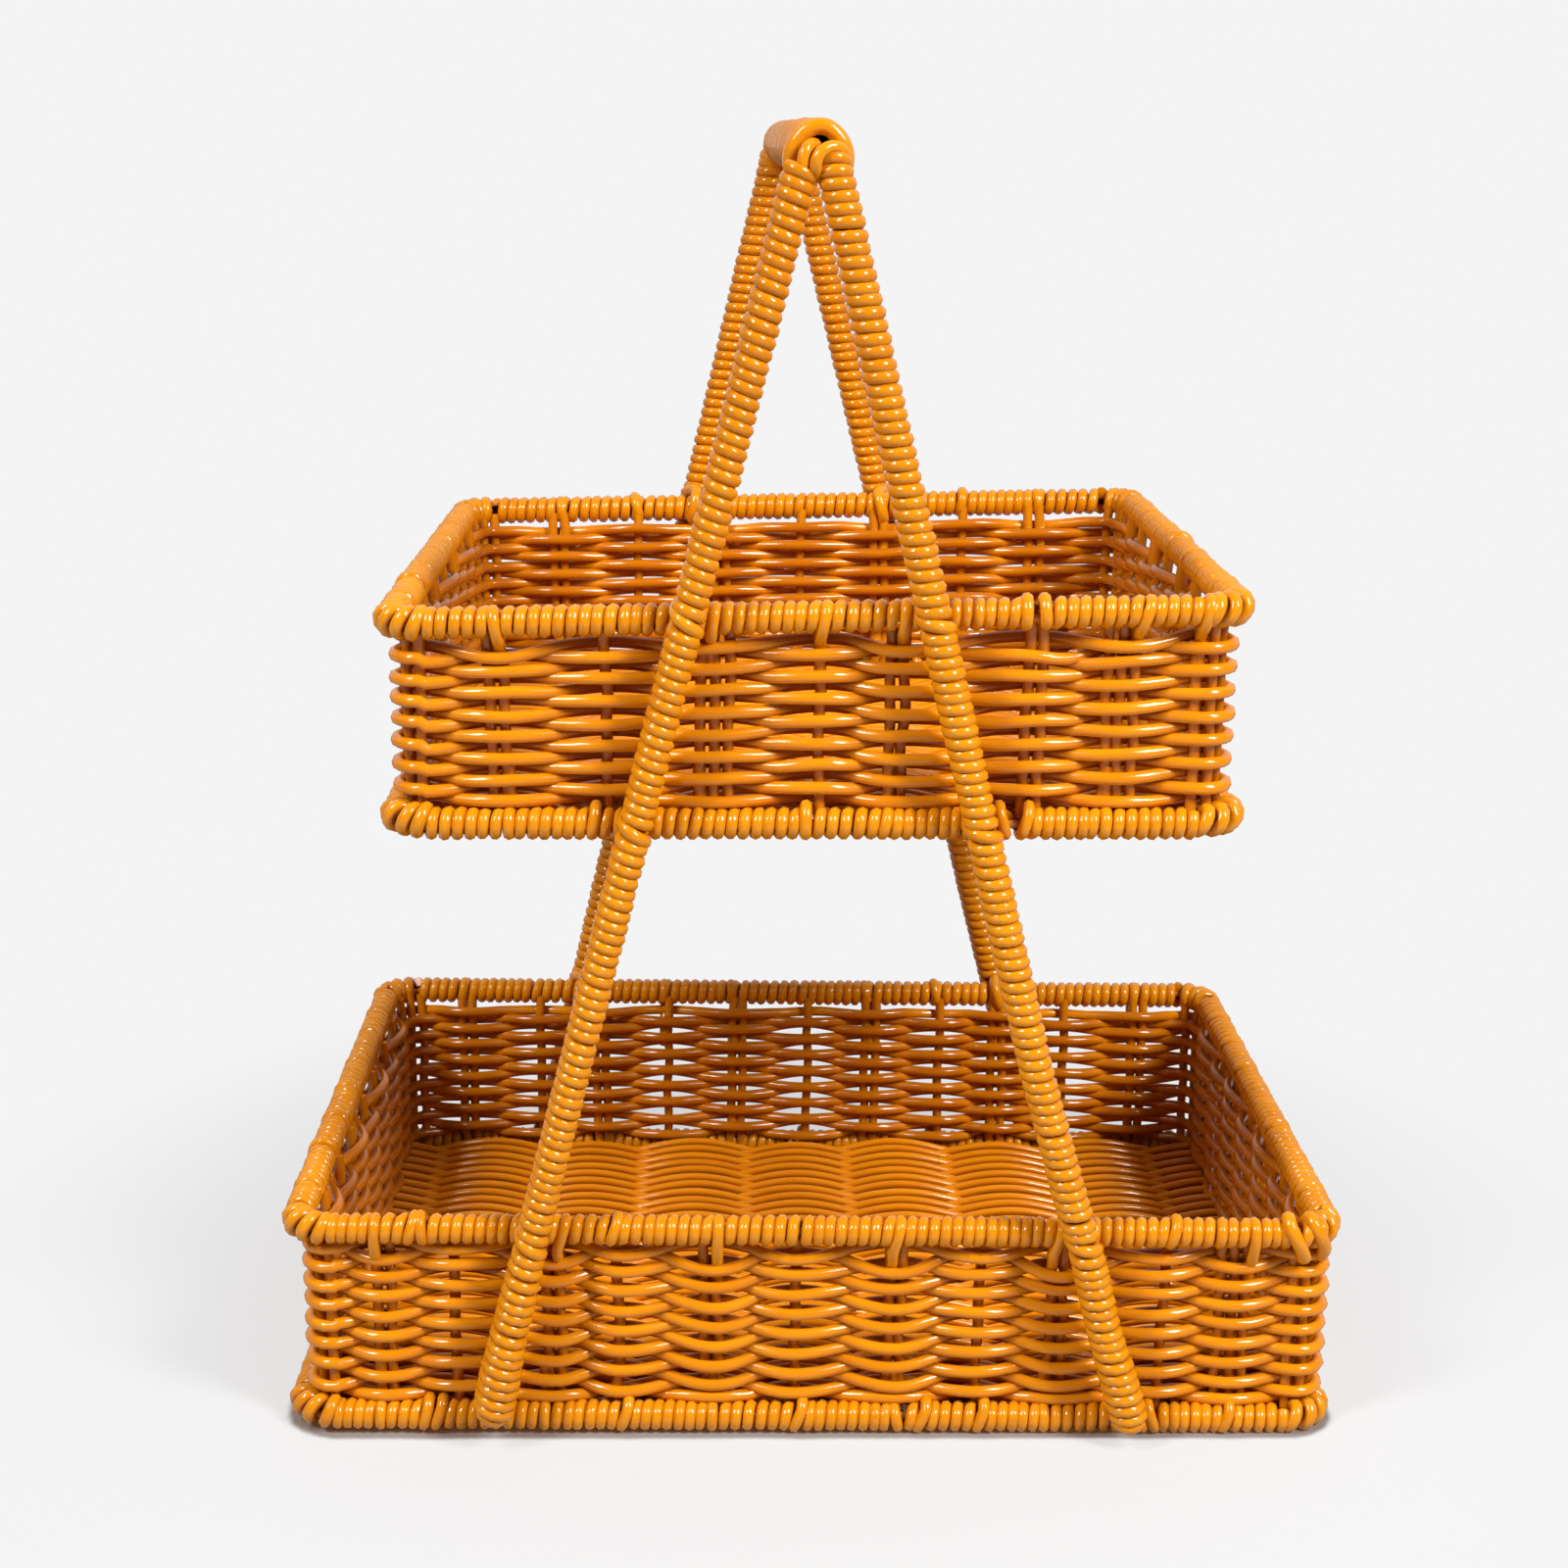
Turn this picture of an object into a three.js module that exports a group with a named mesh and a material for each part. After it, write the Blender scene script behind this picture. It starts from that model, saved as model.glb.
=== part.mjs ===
// Two-tier serving basket: two woven trays hang between two wire hoops, all of it wrapped in round cane.
// Millimetres, +Z up. The origin is on the floor, under the middle of the trays. The front faces -Y.
import * as THREE from "three";

// Driving dimensions of the cane and the wire
const caneDiameter = 4.1;
const rimWireDiameter = 3;
const hoopWireDiameter = 3.4;
const fitGap = 0.3;

// Driving dimensions of the trays, between the centre-lines of their rims
const trayDepth = 259;
const lowerTrayWidth = 385;
const upperTrayWidth = 297;
const lowerTrayHeight = 76.2;
const upperTrayHeight = 74.4;
const upperTrayLevel = 238.8;
const upperTrayShift = -2.5;
const rimCornerRadius = 12;
const wallInset = 4.5;
const wallCornerRadius = 10;
const matRise = 2;
const lowerMatStakeSpacing = 47.4;
const lowerMatStakes = 7;
const upperMatStakeSpacing = 46.2;
const upperMatStakes = 6;
const footFlatDepth = 0.5;

// Driving dimensions of the hoops and of the handle
const frontLegSpreadAtFloor = 240;
const rearLegSpreadAtFloor = 236.5;
const hoopWireSpacing = 7.6;
const handleLevel = 470.6;
const hoopBendRadius = 9;
const legFootLevel = 9;
const frontLegShift = -4.4;
const rearLegHeadShift = -9.4;
const rearLegFootShift = -3.3;
const handlePackingAtSides = 0.2;
const handlePackingAboveRods = 3.3;
const handleBandDrop = 6.5;

// Turns of the wound stretches at the head of the front legs
const headWindingTurns = 24;
const headWindingLength = 116;

// Faceting of round sections and bends
const sleeveSides = 16;
const wireSides = 8;
const caneSides = 5;
const windingSteps = 12;
const bendSteps = 4;
const bandSteps = 12;
const matWaveSteps = 6;

// Fitted sizes
const caneRadius = caneDiameter / 2;
const rimBundleRadius = rimWireDiameter / 2 + fitGap + caneDiameter;
const legBundleRadius = hoopWireDiameter / 2 + fitGap + caneDiameter;
const wallThickness = 3 * caneDiameter;
const matThickness = 3 * caneDiameter;
const handleRodsWidth = hoopWireSpacing + hoopWireDiameter;
const handleWrapWidth = handleRodsWidth + 2 * (fitGap + handlePackingAtSides + caneDiameter);
const handleWrapHeight = hoopWireDiameter + 2 * (fitGap + handlePackingAboveRods + caneDiameter);
const legPlane = trayDepth / 2 + rimBundleRadius + fitGap + legBundleRadius;
const lowerBottomRimLevel = rimBundleRadius - footFlatDepth;
const lowerTopRimLevel = lowerBottomRimLevel + lowerTrayHeight;
const upperTopRimLevel = upperTrayLevel + upperTrayHeight;
const frontLegs = {
  spread: frontLegSpreadAtFloor,
  footShift: frontLegShift,
  headShift: frontLegShift,
};
const rearLegs = {
  spread: rearLegSpreadAtFloor,
  footShift: rearLegFootShift,
  headShift: rearLegHeadShift,
};

const honeyCane = { color: 0xcf7a22, roughness: 0.36, metalness: 0 };
const shadedCane = { color: 0xb96a20, roughness: 0.42, metalness: 0 };
const coatedWire = { color: 0xc8873a, roughness: 0.45, metalness: 0 };

const basket = new THREE.Group();

function addPart(name, geometry, finish) {
  const part = new THREE.Mesh(geometry, new THREE.MeshStandardMaterial(finish));
  part.name = name;
  basket.add(part);
  return part;
}

// Outline of a round section, with a flat on its underside where flatDepth is more than zero
function roundOutline(radius, sides, flatDepth = 0) {
  if (flatDepth === 0) {
    return Array.from({ length: sides }, (_, i) => {
      const angle = ((i + 0.5) / sides) * 2 * Math.PI;
      return new THREE.Vector2(radius * Math.sin(angle), radius * Math.cos(angle));
    });
  }
  const halfFlat = Math.acos((radius - flatDepth) / radius);
  return Array.from({ length: sides }, (_, i) => {
    const angle = -Math.PI + halfFlat + (i / (sides - 1)) * 2 * (Math.PI - halfFlat);
    return new THREE.Vector2(radius * Math.sin(angle), radius * Math.cos(angle));
  });
}

// Bore of a round sleeve, corner by corner with its outline
function roundBore(outline, radius) {
  return outline.map((corner) => corner.clone().setLength(radius));
}

function ovalOutline(width, height, sides) {
  return Array.from({ length: sides }, (_, i) => {
    const angle = ((i + 0.5) / sides) * 2 * Math.PI;
    return new THREE.Vector2((width / 2) * Math.sin(angle), (height / 2) * Math.cos(angle));
  });
}

// Sweeps a section along points. Each point has a normal, which carries the section's second axis.
// A bore, with as many points as the outline, makes the piece a sleeve. The two end faces are square
// to startAlong and endAlong where these are given.
function sweep({ points, normals, outline, bore = null, closed = false, startAlong, endAlong }) {
  const loops = bore ? [outline, bore] : [outline];
  const sides = outline.length;
  const count = points.length;
  const positions = [];
  points.forEach((point, i) => {
    const before = points[closed ? (i + count - 1) % count : Math.max(i - 1, 0)];
    const after = points[closed ? (i + 1) % count : Math.min(i + 1, count - 1)];
    const tangent = after.clone().sub(before).normalize();
    if (i === 0 && startAlong) tangent.copy(startAlong);
    if (i === count - 1 && endAlong) tangent.copy(endAlong);
    const side = tangent.clone().cross(normals[i]).normalize();
    const normal = side.clone().cross(tangent).normalize();
    for (const loop of loops) {
      for (const corner of loop) {
        const place = point.clone().addScaledVector(side, corner.x).addScaledVector(normal, corner.y);
        positions.push(place.x, place.y, place.z);
      }
    }
  });
  const ringSize = sides * loops.length;
  const index = [];
  const quad = (a, b, c, d) => index.push(a, b, c, a, c, d);
  const spans = closed ? count : count - 1;
  for (let i = 0; i < spans; i += 1) {
    const here = i * ringSize;
    const next = ((i + 1) % count) * ringSize;
    for (let j = 0; j < sides; j += 1) {
      const k = (j + 1) % sides;
      quad(here + j, here + k, next + k, next + j);
      if (bore) {
        quad(here + sides + k, here + sides + j, next + sides + j, next + sides + k);
      }
    }
  }
  if (!closed) {
    const last = (count - 1) * ringSize;
    for (let j = 0; j < sides; j += 1) {
      const k = (j + 1) % sides;
      if (bore) {
        quad(k, j, sides + j, sides + k);
        quad(last + j, last + k, last + sides + k, last + sides + j);
      } else if (j > 0 && j < sides - 1) {
        index.push(0, k, j);
        index.push(last, last + j, last + k);
      }
    }
  }
  const geometry = new THREE.BufferGeometry();
  geometry.setAttribute("position", new THREE.Float32BufferAttribute(positions, 3));
  geometry.setIndex(index);
  geometry.computeVertexNormals();
  return geometry;
}

// Points of a quarter bend from one direction into another that is square to it
function bendPoints(corner, into, outOf, radius, steps) {
  const centre = corner.clone().addScaledVector(into, -radius).addScaledVector(outOf, radius);
  return Array.from({ length: steps + 1 }, (_, i) => {
    const angle = (i / steps) * (Math.PI / 2);
    return centre
      .clone()
      .addScaledVector(outOf, -radius * Math.cos(angle))
      .addScaledVector(into, radius * Math.sin(angle));
  });
}

const upward = new THREE.Vector3(0, 0, 1);
const sides = {
  front: { along: new THREE.Vector3(1, 0, 0), outward: new THREE.Vector3(0, -1, 0) },
  right: { along: new THREE.Vector3(0, 1, 0), outward: new THREE.Vector3(1, 0, 0) },
  rear: { along: new THREE.Vector3(-1, 0, 0), outward: new THREE.Vector3(0, 1, 0) },
  left: { along: new THREE.Vector3(0, -1, 0), outward: new THREE.Vector3(-1, 0, 0) },
};
const sideNames = Object.keys(sides);

// A side's half length and its distance from the middle of the tray
function sideReach(sideName, width) {
  const facesFront = sideName === "front" || sideName === "rear";
  return facesFront
    ? { half: width / 2, away: trayDepth / 2 }
    : { half: trayDepth / 2, away: width / 2 };
}

function sidePoint(sideName, { width, shift }, along, level) {
  const { away } = sideReach(sideName, width);
  return new THREE.Vector3(shift, 0, level)
    .addScaledVector(sides[sideName].along, along)
    .addScaledVector(sides[sideName].outward, away);
}

// A rim is one closed loop of wire. Cane winds round it: a straight wrap on each side, and fanned
// turns round each corner.
function addRim(name, tray, level, flatDepth) {
  const outline = roundOutline(rimBundleRadius, sleeveSides, flatDepth);
  const bore = roundBore(outline, rimWireDiameter / 2 + fitGap);
  const wirePoints = [];
  sideNames.forEach((sideName, i) => {
    const nextName = sideNames[(i + 1) % sideNames.length];
    const { half } = sideReach(sideName, tray.width);
    const startAlong = sides[sideName].along;
    const endAlong = sides[nextName].along;
    const corner = sidePoint(sideName, tray, half, level);
    const points = bendPoints(corner, startAlong, endAlong, rimCornerRadius, bendSteps);
    const normals = points.map(() => upward);
    wirePoints.push(...points);
    addPart(
      `${name}_${sideName}_${nextName}_corner_turns`,
      sweep({ points, normals, outline, bore, startAlong, endAlong }),
      honeyCane,
    );
    const wrapHalf = half - rimCornerRadius - fitGap;
    const from = sidePoint(sideName, tray, -wrapHalf, level);
    const to = sidePoint(sideName, tray, wrapHalf, level);
    addPart(
      `${name}_${sideName}_wrap`,
      sweep({ points: [from, to], normals: [upward, upward], outline, bore }),
      honeyCane,
    );
  });
  addPart(
    `${name}_wire`,
    sweep({
      points: wirePoints,
      normals: wirePoints.map(() => upward),
      outline: roundOutline(rimWireDiameter / 2, wireSides),
      closed: true,
    }),
    coatedWire,
  );
}

// Plan outline of a slab, centred on its side, with its two outer corners rounded
function slabShape(halfLength, halfThickness, cornerRadius) {
  const shape = new THREE.Shape();
  shape.moveTo(-halfLength, halfThickness);
  shape.lineTo(-halfLength, cornerRadius - halfThickness);
  if (cornerRadius > 0) {
    const centreX = halfLength - cornerRadius;
    const centreY = cornerRadius - halfThickness;
    shape.absarc(-centreX, centreY, cornerRadius, Math.PI, 1.5 * Math.PI);
    shape.absarc(centreX, centreY, cornerRadius, 1.5 * Math.PI, 2 * Math.PI);
  } else {
    shape.lineTo(halfLength, -halfThickness);
  }
  shape.lineTo(halfLength, halfThickness);
  shape.closePath();
  return shape;
}

// A woven wall stands on the bottom rim and ends under the top rim, just inside both.
function addWall(name, sideName, { width, shift }, bottomLevel, topLevel) {
  const isLong = sideName === "front" || sideName === "rear";
  const { half, away } = sideReach(sideName, width);
  const outerHalf = half - wallInset + wallThickness / 2;
  const halfLength = isLong ? outerHalf : outerHalf - wallThickness - fitGap;
  const low = bottomLevel + rimBundleRadius + fitGap;
  const high = topLevel - rimBundleRadius - fitGap;
  const shape = slabShape(halfLength, wallThickness / 2, isLong ? wallCornerRadius : 0);
  const wall = addPart(
    `${name}_${sideName}_wall`,
    new THREE.ExtrudeGeometry(shape, { depth: high - low, bevelEnabled: false, curveSegments: bendSteps }),
    honeyCane,
  );
  const outward = sides[sideName].outward;
  wall.position.set(shift, 0, low).addScaledVector(outward, away - wallInset);
  wall.rotation.z = Math.atan2(outward.y, outward.x) + Math.PI / 2;
}

// Half the thickness of a mat at a distance from its middle. Its rows rise over every stake, and lie
// level halfway between two stakes.
function matHalfThickness(along, stakes, spacing) {
  const fromStake = along / spacing + (stakes - 1) / 2;
  const rise = matThickness / 2 - caneRadius;
  return caneRadius + rise * Math.abs(Math.cos(Math.PI * fromStake));
}

// The woven floor of a tray lies between the walls, with its stakes a little above the rim's wire.
// Its two faces have the broad waves of the rows.
function addMat(name, { width, shift, stakes, stakeSpacing }, bottomLevel) {
  const reach = wallInset + wallThickness / 2 + fitGap;
  const halfWidth = width / 2 - reach;
  const depth = trayDepth - 2 * reach;
  const waveStep = stakeSpacing / matWaveSteps;
  const firstStake = (-(stakes - 1) / 2) * stakeSpacing;
  const stepsBefore = Math.ceil((firstStake + halfWidth) / waveStep) - 1;
  const stations = [-halfWidth];
  for (let x = firstStake - stepsBefore * waveStep; x < halfWidth - waveStep / 4; x += waveStep) {
    stations.push(x);
  }
  stations.push(halfWidth);
  const half = stations.map((x) => matHalfThickness(x, stakes, stakeSpacing));
  const upper = stations.map((x, i) => new THREE.Vector2(x, half[i]));
  const under = stations.map((x, i) => new THREE.Vector2(x, -half[i])).reverse();
  const geometry = new THREE.ExtrudeGeometry(new THREE.Shape([...under, ...upper]), {
    depth,
    bevelEnabled: false,
  });
  geometry.rotateX(Math.PI / 2);
  geometry.translate(0, depth / 2, 0);
  const mat = addPart(`${name}_mat`, geometry, shadedCane);
  mat.position.set(shift, 0, bottomLevel + matRise);
}

function addTray(name, tray, bottomLevel, topLevel, flatDepth) {
  addRim(`${name}_bottom_rim`, tray, bottomLevel, flatDepth);
  addRim(`${name}_top_rim`, tray, topLevel, 0);
  for (const sideName of sideNames) {
    addWall(name, sideName, tray, bottomLevel, topLevel);
  }
  addMat(name, tray, bottomLevel);
}

// Directions and places on a hoop. hand is -1 for the left hoop and 1 for the right one.
// end is -1 for the front leg and 1 for the rear leg.
function legsAt(end) {
  return end < 0 ? frontLegs : rearLegs;
}

function legLean(end) {
  return Math.atan2((legsAt(end).spread - hoopWireSpacing) / 2, handleLevel);
}

function legPoint(hand, end, level) {
  const { spread, footShift, headShift } = legsAt(end);
  const halfSpread = spread / 2 - Math.tan(legLean(end)) * level;
  const shift = footShift + ((headShift - footShift) * level) / handleLevel;
  return new THREE.Vector3(shift + hand * halfSpread, end * legPlane, level);
}

function legDirection(hand, end) {
  return legPoint(hand, end, handleLevel).sub(legPoint(hand, end, 0)).normalize();
}

// The cane of the two legs meets between them at this level
function legHeadLevel(end) {
  const halfSpread = legBundleRadius * Math.cos(legLean(end)) + fitGap / 2;
  return (legsAt(end).spread / 2 - halfSpread) / Math.tan(legLean(end));
}

// A hoop is one rod: a front leg, the run along the handle, and a rear leg
function addHoop(name, hand) {
  const frontBend = bendPoints(
    legPoint(hand, -1, handleLevel),
    legDirection(hand, -1),
    new THREE.Vector3(0, 1, 0),
    hoopBendRadius,
    bendSteps,
  );
  const rearBend = bendPoints(
    legPoint(hand, 1, handleLevel),
    legDirection(hand, 1),
    new THREE.Vector3(0, -1, 0),
    hoopBendRadius,
    bendSteps,
  );
  const points = [
    legPoint(hand, -1, legFootLevel),
    ...frontBend,
    ...rearBend.reverse(),
    legPoint(hand, 1, legFootLevel),
  ];
  const across = new THREE.Vector3(1, 0, 0);
  addPart(
    name,
    sweep({
      points,
      normals: points.map(() => across),
      outline: roundOutline(hoopWireDiameter / 2, wireSides),
    }),
    coatedWire,
  );
}

function legSleeve(hand, end, lowLevel, highLevel) {
  const outline = roundOutline(legBundleRadius, sleeveSides);
  const outward = new THREE.Vector3(0, end, 0);
  return sweep({
    points: [legPoint(hand, end, lowLevel), legPoint(hand, end, highLevel)],
    normals: [outward, outward],
    outline,
    bore: roundBore(outline, hoopWireDiameter / 2 + fitGap),
  });
}

// Turns of cane round a straight wire. The path leaves out the sagging of its chords, so that the
// facets stay clear of the wire. It returns the geometry and the least gap from turn to turn.
function winding({ from, to, startSide, turns, coilRadius }) {
  const axis = to.clone().sub(from);
  const length = axis.length();
  axis.normalize();
  const radial = startSide.clone().addScaledVector(axis, -startSide.dot(axis)).normalize();
  const cross = axis.clone().cross(radial);
  const points = [];
  const normals = [];
  const total = turns * windingSteps;
  const reach = coilRadius / Math.cos(Math.PI / windingSteps);
  const run = length - caneDiameter;
  for (let i = 0; i <= total; i += 1) {
    const angle = (i / windingSteps) * 2 * Math.PI;
    const out = radial.clone().multiplyScalar(Math.cos(angle)).addScaledVector(cross, Math.sin(angle));
    points.push(
      from
        .clone()
        .addScaledVector(axis, caneRadius + (run * i) / total)
        .addScaledVector(out, reach),
    );
    normals.push(out);
  }
  let leastGap = Infinity;
  for (let i = 0; i <= total; i += 1) {
    for (let j = i + windingSteps / 2; j <= total; j += 1) {
      leastGap = Math.min(leastGap, points[i].distanceTo(points[j]) - caneDiameter);
    }
  }
  const geometry = sweep({ points, normals, outline: roundOutline(caneRadius, caneSides) });
  return { geometry, leastGap };
}

function addLeg(name, hand, end) {
  const windingDrop = headWindingLength * Math.cos(legLean(end));
  const isFront = end < 0;
  const headLevel = legHeadLevel(end);
  const splitLevel = headLevel - windingDrop;
  addPart(`${name}_wrap`, legSleeve(hand, end, legFootLevel, splitLevel - fitGap), honeyCane);
  if (isFront) {
    const { geometry, leastGap } = winding({
      from: legPoint(hand, end, splitLevel),
      to: legPoint(hand, end, headLevel),
      startSide: new THREE.Vector3(0, -end, 0),
      turns: headWindingTurns,
      coilRadius: hoopWireDiameter / 2 + fitGap + caneRadius,
    });
    console.log(`${name} head winding: least gap to itself ${leastGap.toFixed(2)} mm`);
    addPart(`${name}_head_winding`, geometry, honeyCane);
  } else {
    addPart(`${name}_head_wrap`, legSleeve(hand, end, splitLevel, headLevel), honeyCane);
  }
}

// The handle: one wrap of cane round both rods, and a band over each end of it
function addHandle() {
  const wrapHalf = legPlane - hoopBendRadius;
  const boreWidth = handleWrapWidth - 2 * caneDiameter;
  const boreHeight = handleWrapHeight - 2 * caneDiameter;
  addPart(
    "handle_wrap",
    sweep({
      points: [
        new THREE.Vector3(frontLegs.headShift, -wrapHalf, handleLevel),
        new THREE.Vector3(rearLegs.headShift, wrapHalf, handleLevel),
      ],
      normals: [upward, upward],
      outline: ovalOutline(handleWrapWidth, handleWrapHeight, sleeveSides),
      bore: ovalOutline(boreWidth, boreHeight, sleeveSides),
    }),
    honeyCane,
  );
  for (const [name, end] of [["handle_front_band", -1], ["handle_rear_band", 1]]) {
    const across = handleWrapWidth / 2 - caneRadius;
    const rise = handleWrapHeight / 2 - caneRadius;
    const place = new THREE.Vector3(
      legsAt(end).headShift,
      end * (wrapHalf + fitGap + caneRadius),
      handleLevel,
    );
    const foot = -handleBandDrop;
    const points = [];
    const start = Math.asin(foot / rise);
    for (let i = 0; i <= bandSteps; i += 1) {
      const angle = start + (i / bandSteps) * (Math.PI - 2 * start);
      const onArch = new THREE.Vector3(-across * Math.cos(angle), 0, rise * Math.sin(angle));
      points.push(place.clone().add(onArch));
    }
    addPart(
      name,
      sweep({
        points,
        normals: points.map(() => new THREE.Vector3(0, 1, 0)),
        outline: roundOutline(caneRadius, wireSides),
      }),
      honeyCane,
    );
  }
}

const lowerTray = {
  width: lowerTrayWidth,
  shift: 0,
  stakes: lowerMatStakes,
  stakeSpacing: lowerMatStakeSpacing,
};
const upperTray = {
  width: upperTrayWidth,
  shift: upperTrayShift,
  stakes: upperMatStakes,
  stakeSpacing: upperMatStakeSpacing,
};
addTray("lower", lowerTray, lowerBottomRimLevel, lowerTopRimLevel, footFlatDepth);
addTray("upper", upperTray, upperTrayLevel, upperTopRimLevel, 0);
addHoop("left_hoop_rod", -1);
addHoop("right_hoop_rod", 1);
addLeg("front_left_leg", -1, -1);
addLeg("front_right_leg", 1, -1);
addLeg("rear_left_leg", -1, 1);
addLeg("rear_right_leg", 1, 1);
addHandle();

export default basket;
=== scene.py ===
# %% [markdown]
# # A two-tier serving basket, laid strand by strand
# The basket is woven and wrapped by hand from one kind of round, glossy, honey-coloured cane on a wire
# frame. A weave could be faked with a bump map on flat walls. Here every strand is its own bevelled
# curve, turned into a mesh, because the eye reads this basket by its shadows: the dark slots between
# rows, the turns that bulge round the rims, and the daylight that comes through the walls. The frame
# that is loaded first gives the true size and place of every rim, wall, leg and handle.

# %% Load the frame and the tools
import math

import bpy
import numpy as np
from mathutils import Matrix, Vector


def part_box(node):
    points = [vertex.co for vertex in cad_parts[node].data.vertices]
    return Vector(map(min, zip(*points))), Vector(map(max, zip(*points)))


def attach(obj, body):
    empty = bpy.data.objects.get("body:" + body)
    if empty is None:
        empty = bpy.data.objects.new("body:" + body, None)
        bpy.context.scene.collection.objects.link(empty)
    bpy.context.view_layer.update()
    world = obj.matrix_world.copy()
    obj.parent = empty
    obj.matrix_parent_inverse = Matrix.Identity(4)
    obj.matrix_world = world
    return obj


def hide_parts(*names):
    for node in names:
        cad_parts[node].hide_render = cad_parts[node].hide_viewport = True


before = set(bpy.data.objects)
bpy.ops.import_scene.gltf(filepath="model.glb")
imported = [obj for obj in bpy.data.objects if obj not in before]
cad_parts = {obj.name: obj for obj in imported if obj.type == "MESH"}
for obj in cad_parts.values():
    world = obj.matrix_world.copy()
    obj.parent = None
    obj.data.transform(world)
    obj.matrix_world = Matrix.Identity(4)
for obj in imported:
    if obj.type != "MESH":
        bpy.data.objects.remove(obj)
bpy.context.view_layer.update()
scene = bpy.context.scene
chance = np.random.default_rng(20)
millimetre = 0.001
print("the frame has", len(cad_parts), "nodes")

# %% [markdown]
# # Camera
# The photograph looks a little down on the basket from just left of its middle. The lens length, the
# place and the three small turns were found by matching the straight edges of both trays and all four
# legs.

# %% Stand the camera where the photograph was taken
picture_width_pixels = 1600
focal_length_pixels = 2485.5
sensor_width = 36.0
camera_place = Vector((-0.03019, -0.95909, 0.47507))
look_down = 0.2614
look_right = 0.0207
roll = 0.0102
nearest_visible = 0.05

forward = Vector((math.sin(look_right) * math.cos(look_down),
                  math.cos(look_right) * math.cos(look_down),
                  -math.sin(look_down)))
level_right = Vector((math.cos(look_right), -math.sin(look_right), 0))
level_up = level_right.cross(forward)
camera_right = math.cos(roll) * level_right + math.sin(roll) * level_up
camera_up = math.cos(roll) * level_up - math.sin(roll) * level_right

camera_data = bpy.data.cameras.new("camera")
camera_data.sensor_width = sensor_width
camera_data.lens = focal_length_pixels / picture_width_pixels * sensor_width
camera_data.clip_start = nearest_visible
camera = bpy.data.objects.new("camera", camera_data)
scene.collection.objects.link(camera)
turn = Matrix((camera_right, camera_up, -forward)).transposed().to_4x4()
camera.matrix_world = Matrix.Translation(camera_place) @ turn
scene.camera = camera
print("lens", round(camera_data.lens, 2), "mm")

# %% [markdown]
# # Nodes in short
# Light, paper and cane are all described by shader nodes. A few small functions keep their descriptions
# short.

# %% New nodes with their settings
def add_node(tree, kind, inputs=None, **settings):
    """A new node. Settings are its own properties. An input gets a plain value, or a link from a socket."""
    made = tree.nodes.new(kind)
    for name, value in settings.items():
        setattr(made, name, value)
    for name, value in (inputs or {}).items():
        if isinstance(value, bpy.types.NodeSocket):
            tree.links.new(value, made.inputs[name])
        else:
            made.inputs[name].default_value = value
    return made


def remap(tree, value, low, high, to_low=0.0, to_high=1.0, shape="LINEAR"):
    """The output of a node that takes low to to_low and high to to_high."""
    ends = {"From Min": low, "From Max": high, "To Min": to_low, "To Max": to_high}
    node = add_node(tree, "ShaderNodeMapRange", {"Value": value, **ends}, interpolation_type=shape)
    return node.outputs["Result"]


def for_camera(tree, others, camera):
    """One shader for the camera's own rays and another for all other rays."""
    rays = add_node(tree, "ShaderNodeLightPath")
    shaders = {"Fac": rays.outputs["Is Camera Ray"], 1: others.outputs[0], 2: camera.outputs[0]}
    return add_node(tree, "ShaderNodeMixShader", shaders).outputs[0]


def cleared_tree(owner):
    """The emptied node tree of a world or a material."""
    owner.use_nodes = True
    owner.node_tree.nodes.clear()
    return owner.node_tree


def grey(tone):
    return (tone, tone, tone, 1)


# %% [markdown]
# # Studio
# A white room: a pale floor, an even white surround, and two tall soft boxes in front, left and right.
# Glossy cane shows each soft box as one small bright spot on every turn, which is what makes the wraps
# look round. The room in front of the basket is dim, so that the slots between strands stay dark, and
# the room behind it is bright, which draws a thin pale line along the edges of the cane.

# %% Soft boxes and surround
background_tone = 0.905
lamp_target = Vector((0, 0, 0.22))
lamp_distance = 1.65
lamp_height = 0.70
front_light = 0.08
rear_light = 0.70
dim_until = -0.10
bright_from = 0.60


def soft_box(name, azimuth, elevation, width, power):
    """A rectangular lamp that faces the middle of the basket. Azimuth 0 is the camera's side."""
    place = lamp_target + lamp_distance * Vector((math.sin(azimuth) * math.cos(elevation),
                                                  -math.cos(azimuth) * math.cos(elevation),
                                                  math.sin(elevation)))
    lamp = bpy.data.lights.new(name, "AREA")
    lamp.shape = "RECTANGLE"
    lamp.size = width
    lamp.size_y = lamp_height
    lamp.energy = power
    lamp_object = bpy.data.objects.new(name, lamp)
    facing = (lamp_target - place).to_track_quat("-Z", "Y").to_matrix().to_4x4()
    lamp_object.matrix_world = Matrix.Translation(place) @ facing
    scene.collection.objects.link(lamp_object)


soft_box("key_soft_box", math.radians(46), math.radians(39), 0.34, 33)
soft_box("fill_soft_box", math.radians(-48), math.radians(42), 0.30, 22)

world = bpy.data.worlds.new("white_room")
scene.world = world
tree = cleared_tree(world)
direction = add_node(tree, "ShaderNodeTexCoord")
depth = add_node(tree, "ShaderNodeSeparateXYZ", {"Vector": direction.outputs["Generated"]})
strength = remap(tree, depth.outputs["Y"], dim_until, bright_from, front_light, rear_light, "SMOOTHSTEP")
room_light = add_node(tree, "ShaderNodeBackground", {"Color": grey(1.0), "Strength": strength})
backdrop = add_node(tree, "ShaderNodeBackground", {"Color": grey(background_tone)})
add_node(tree, "ShaderNodeOutputWorld", {"Surface": for_camera(tree, room_light, backdrop)})
scene.view_settings.view_transform = "Standard"

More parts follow.
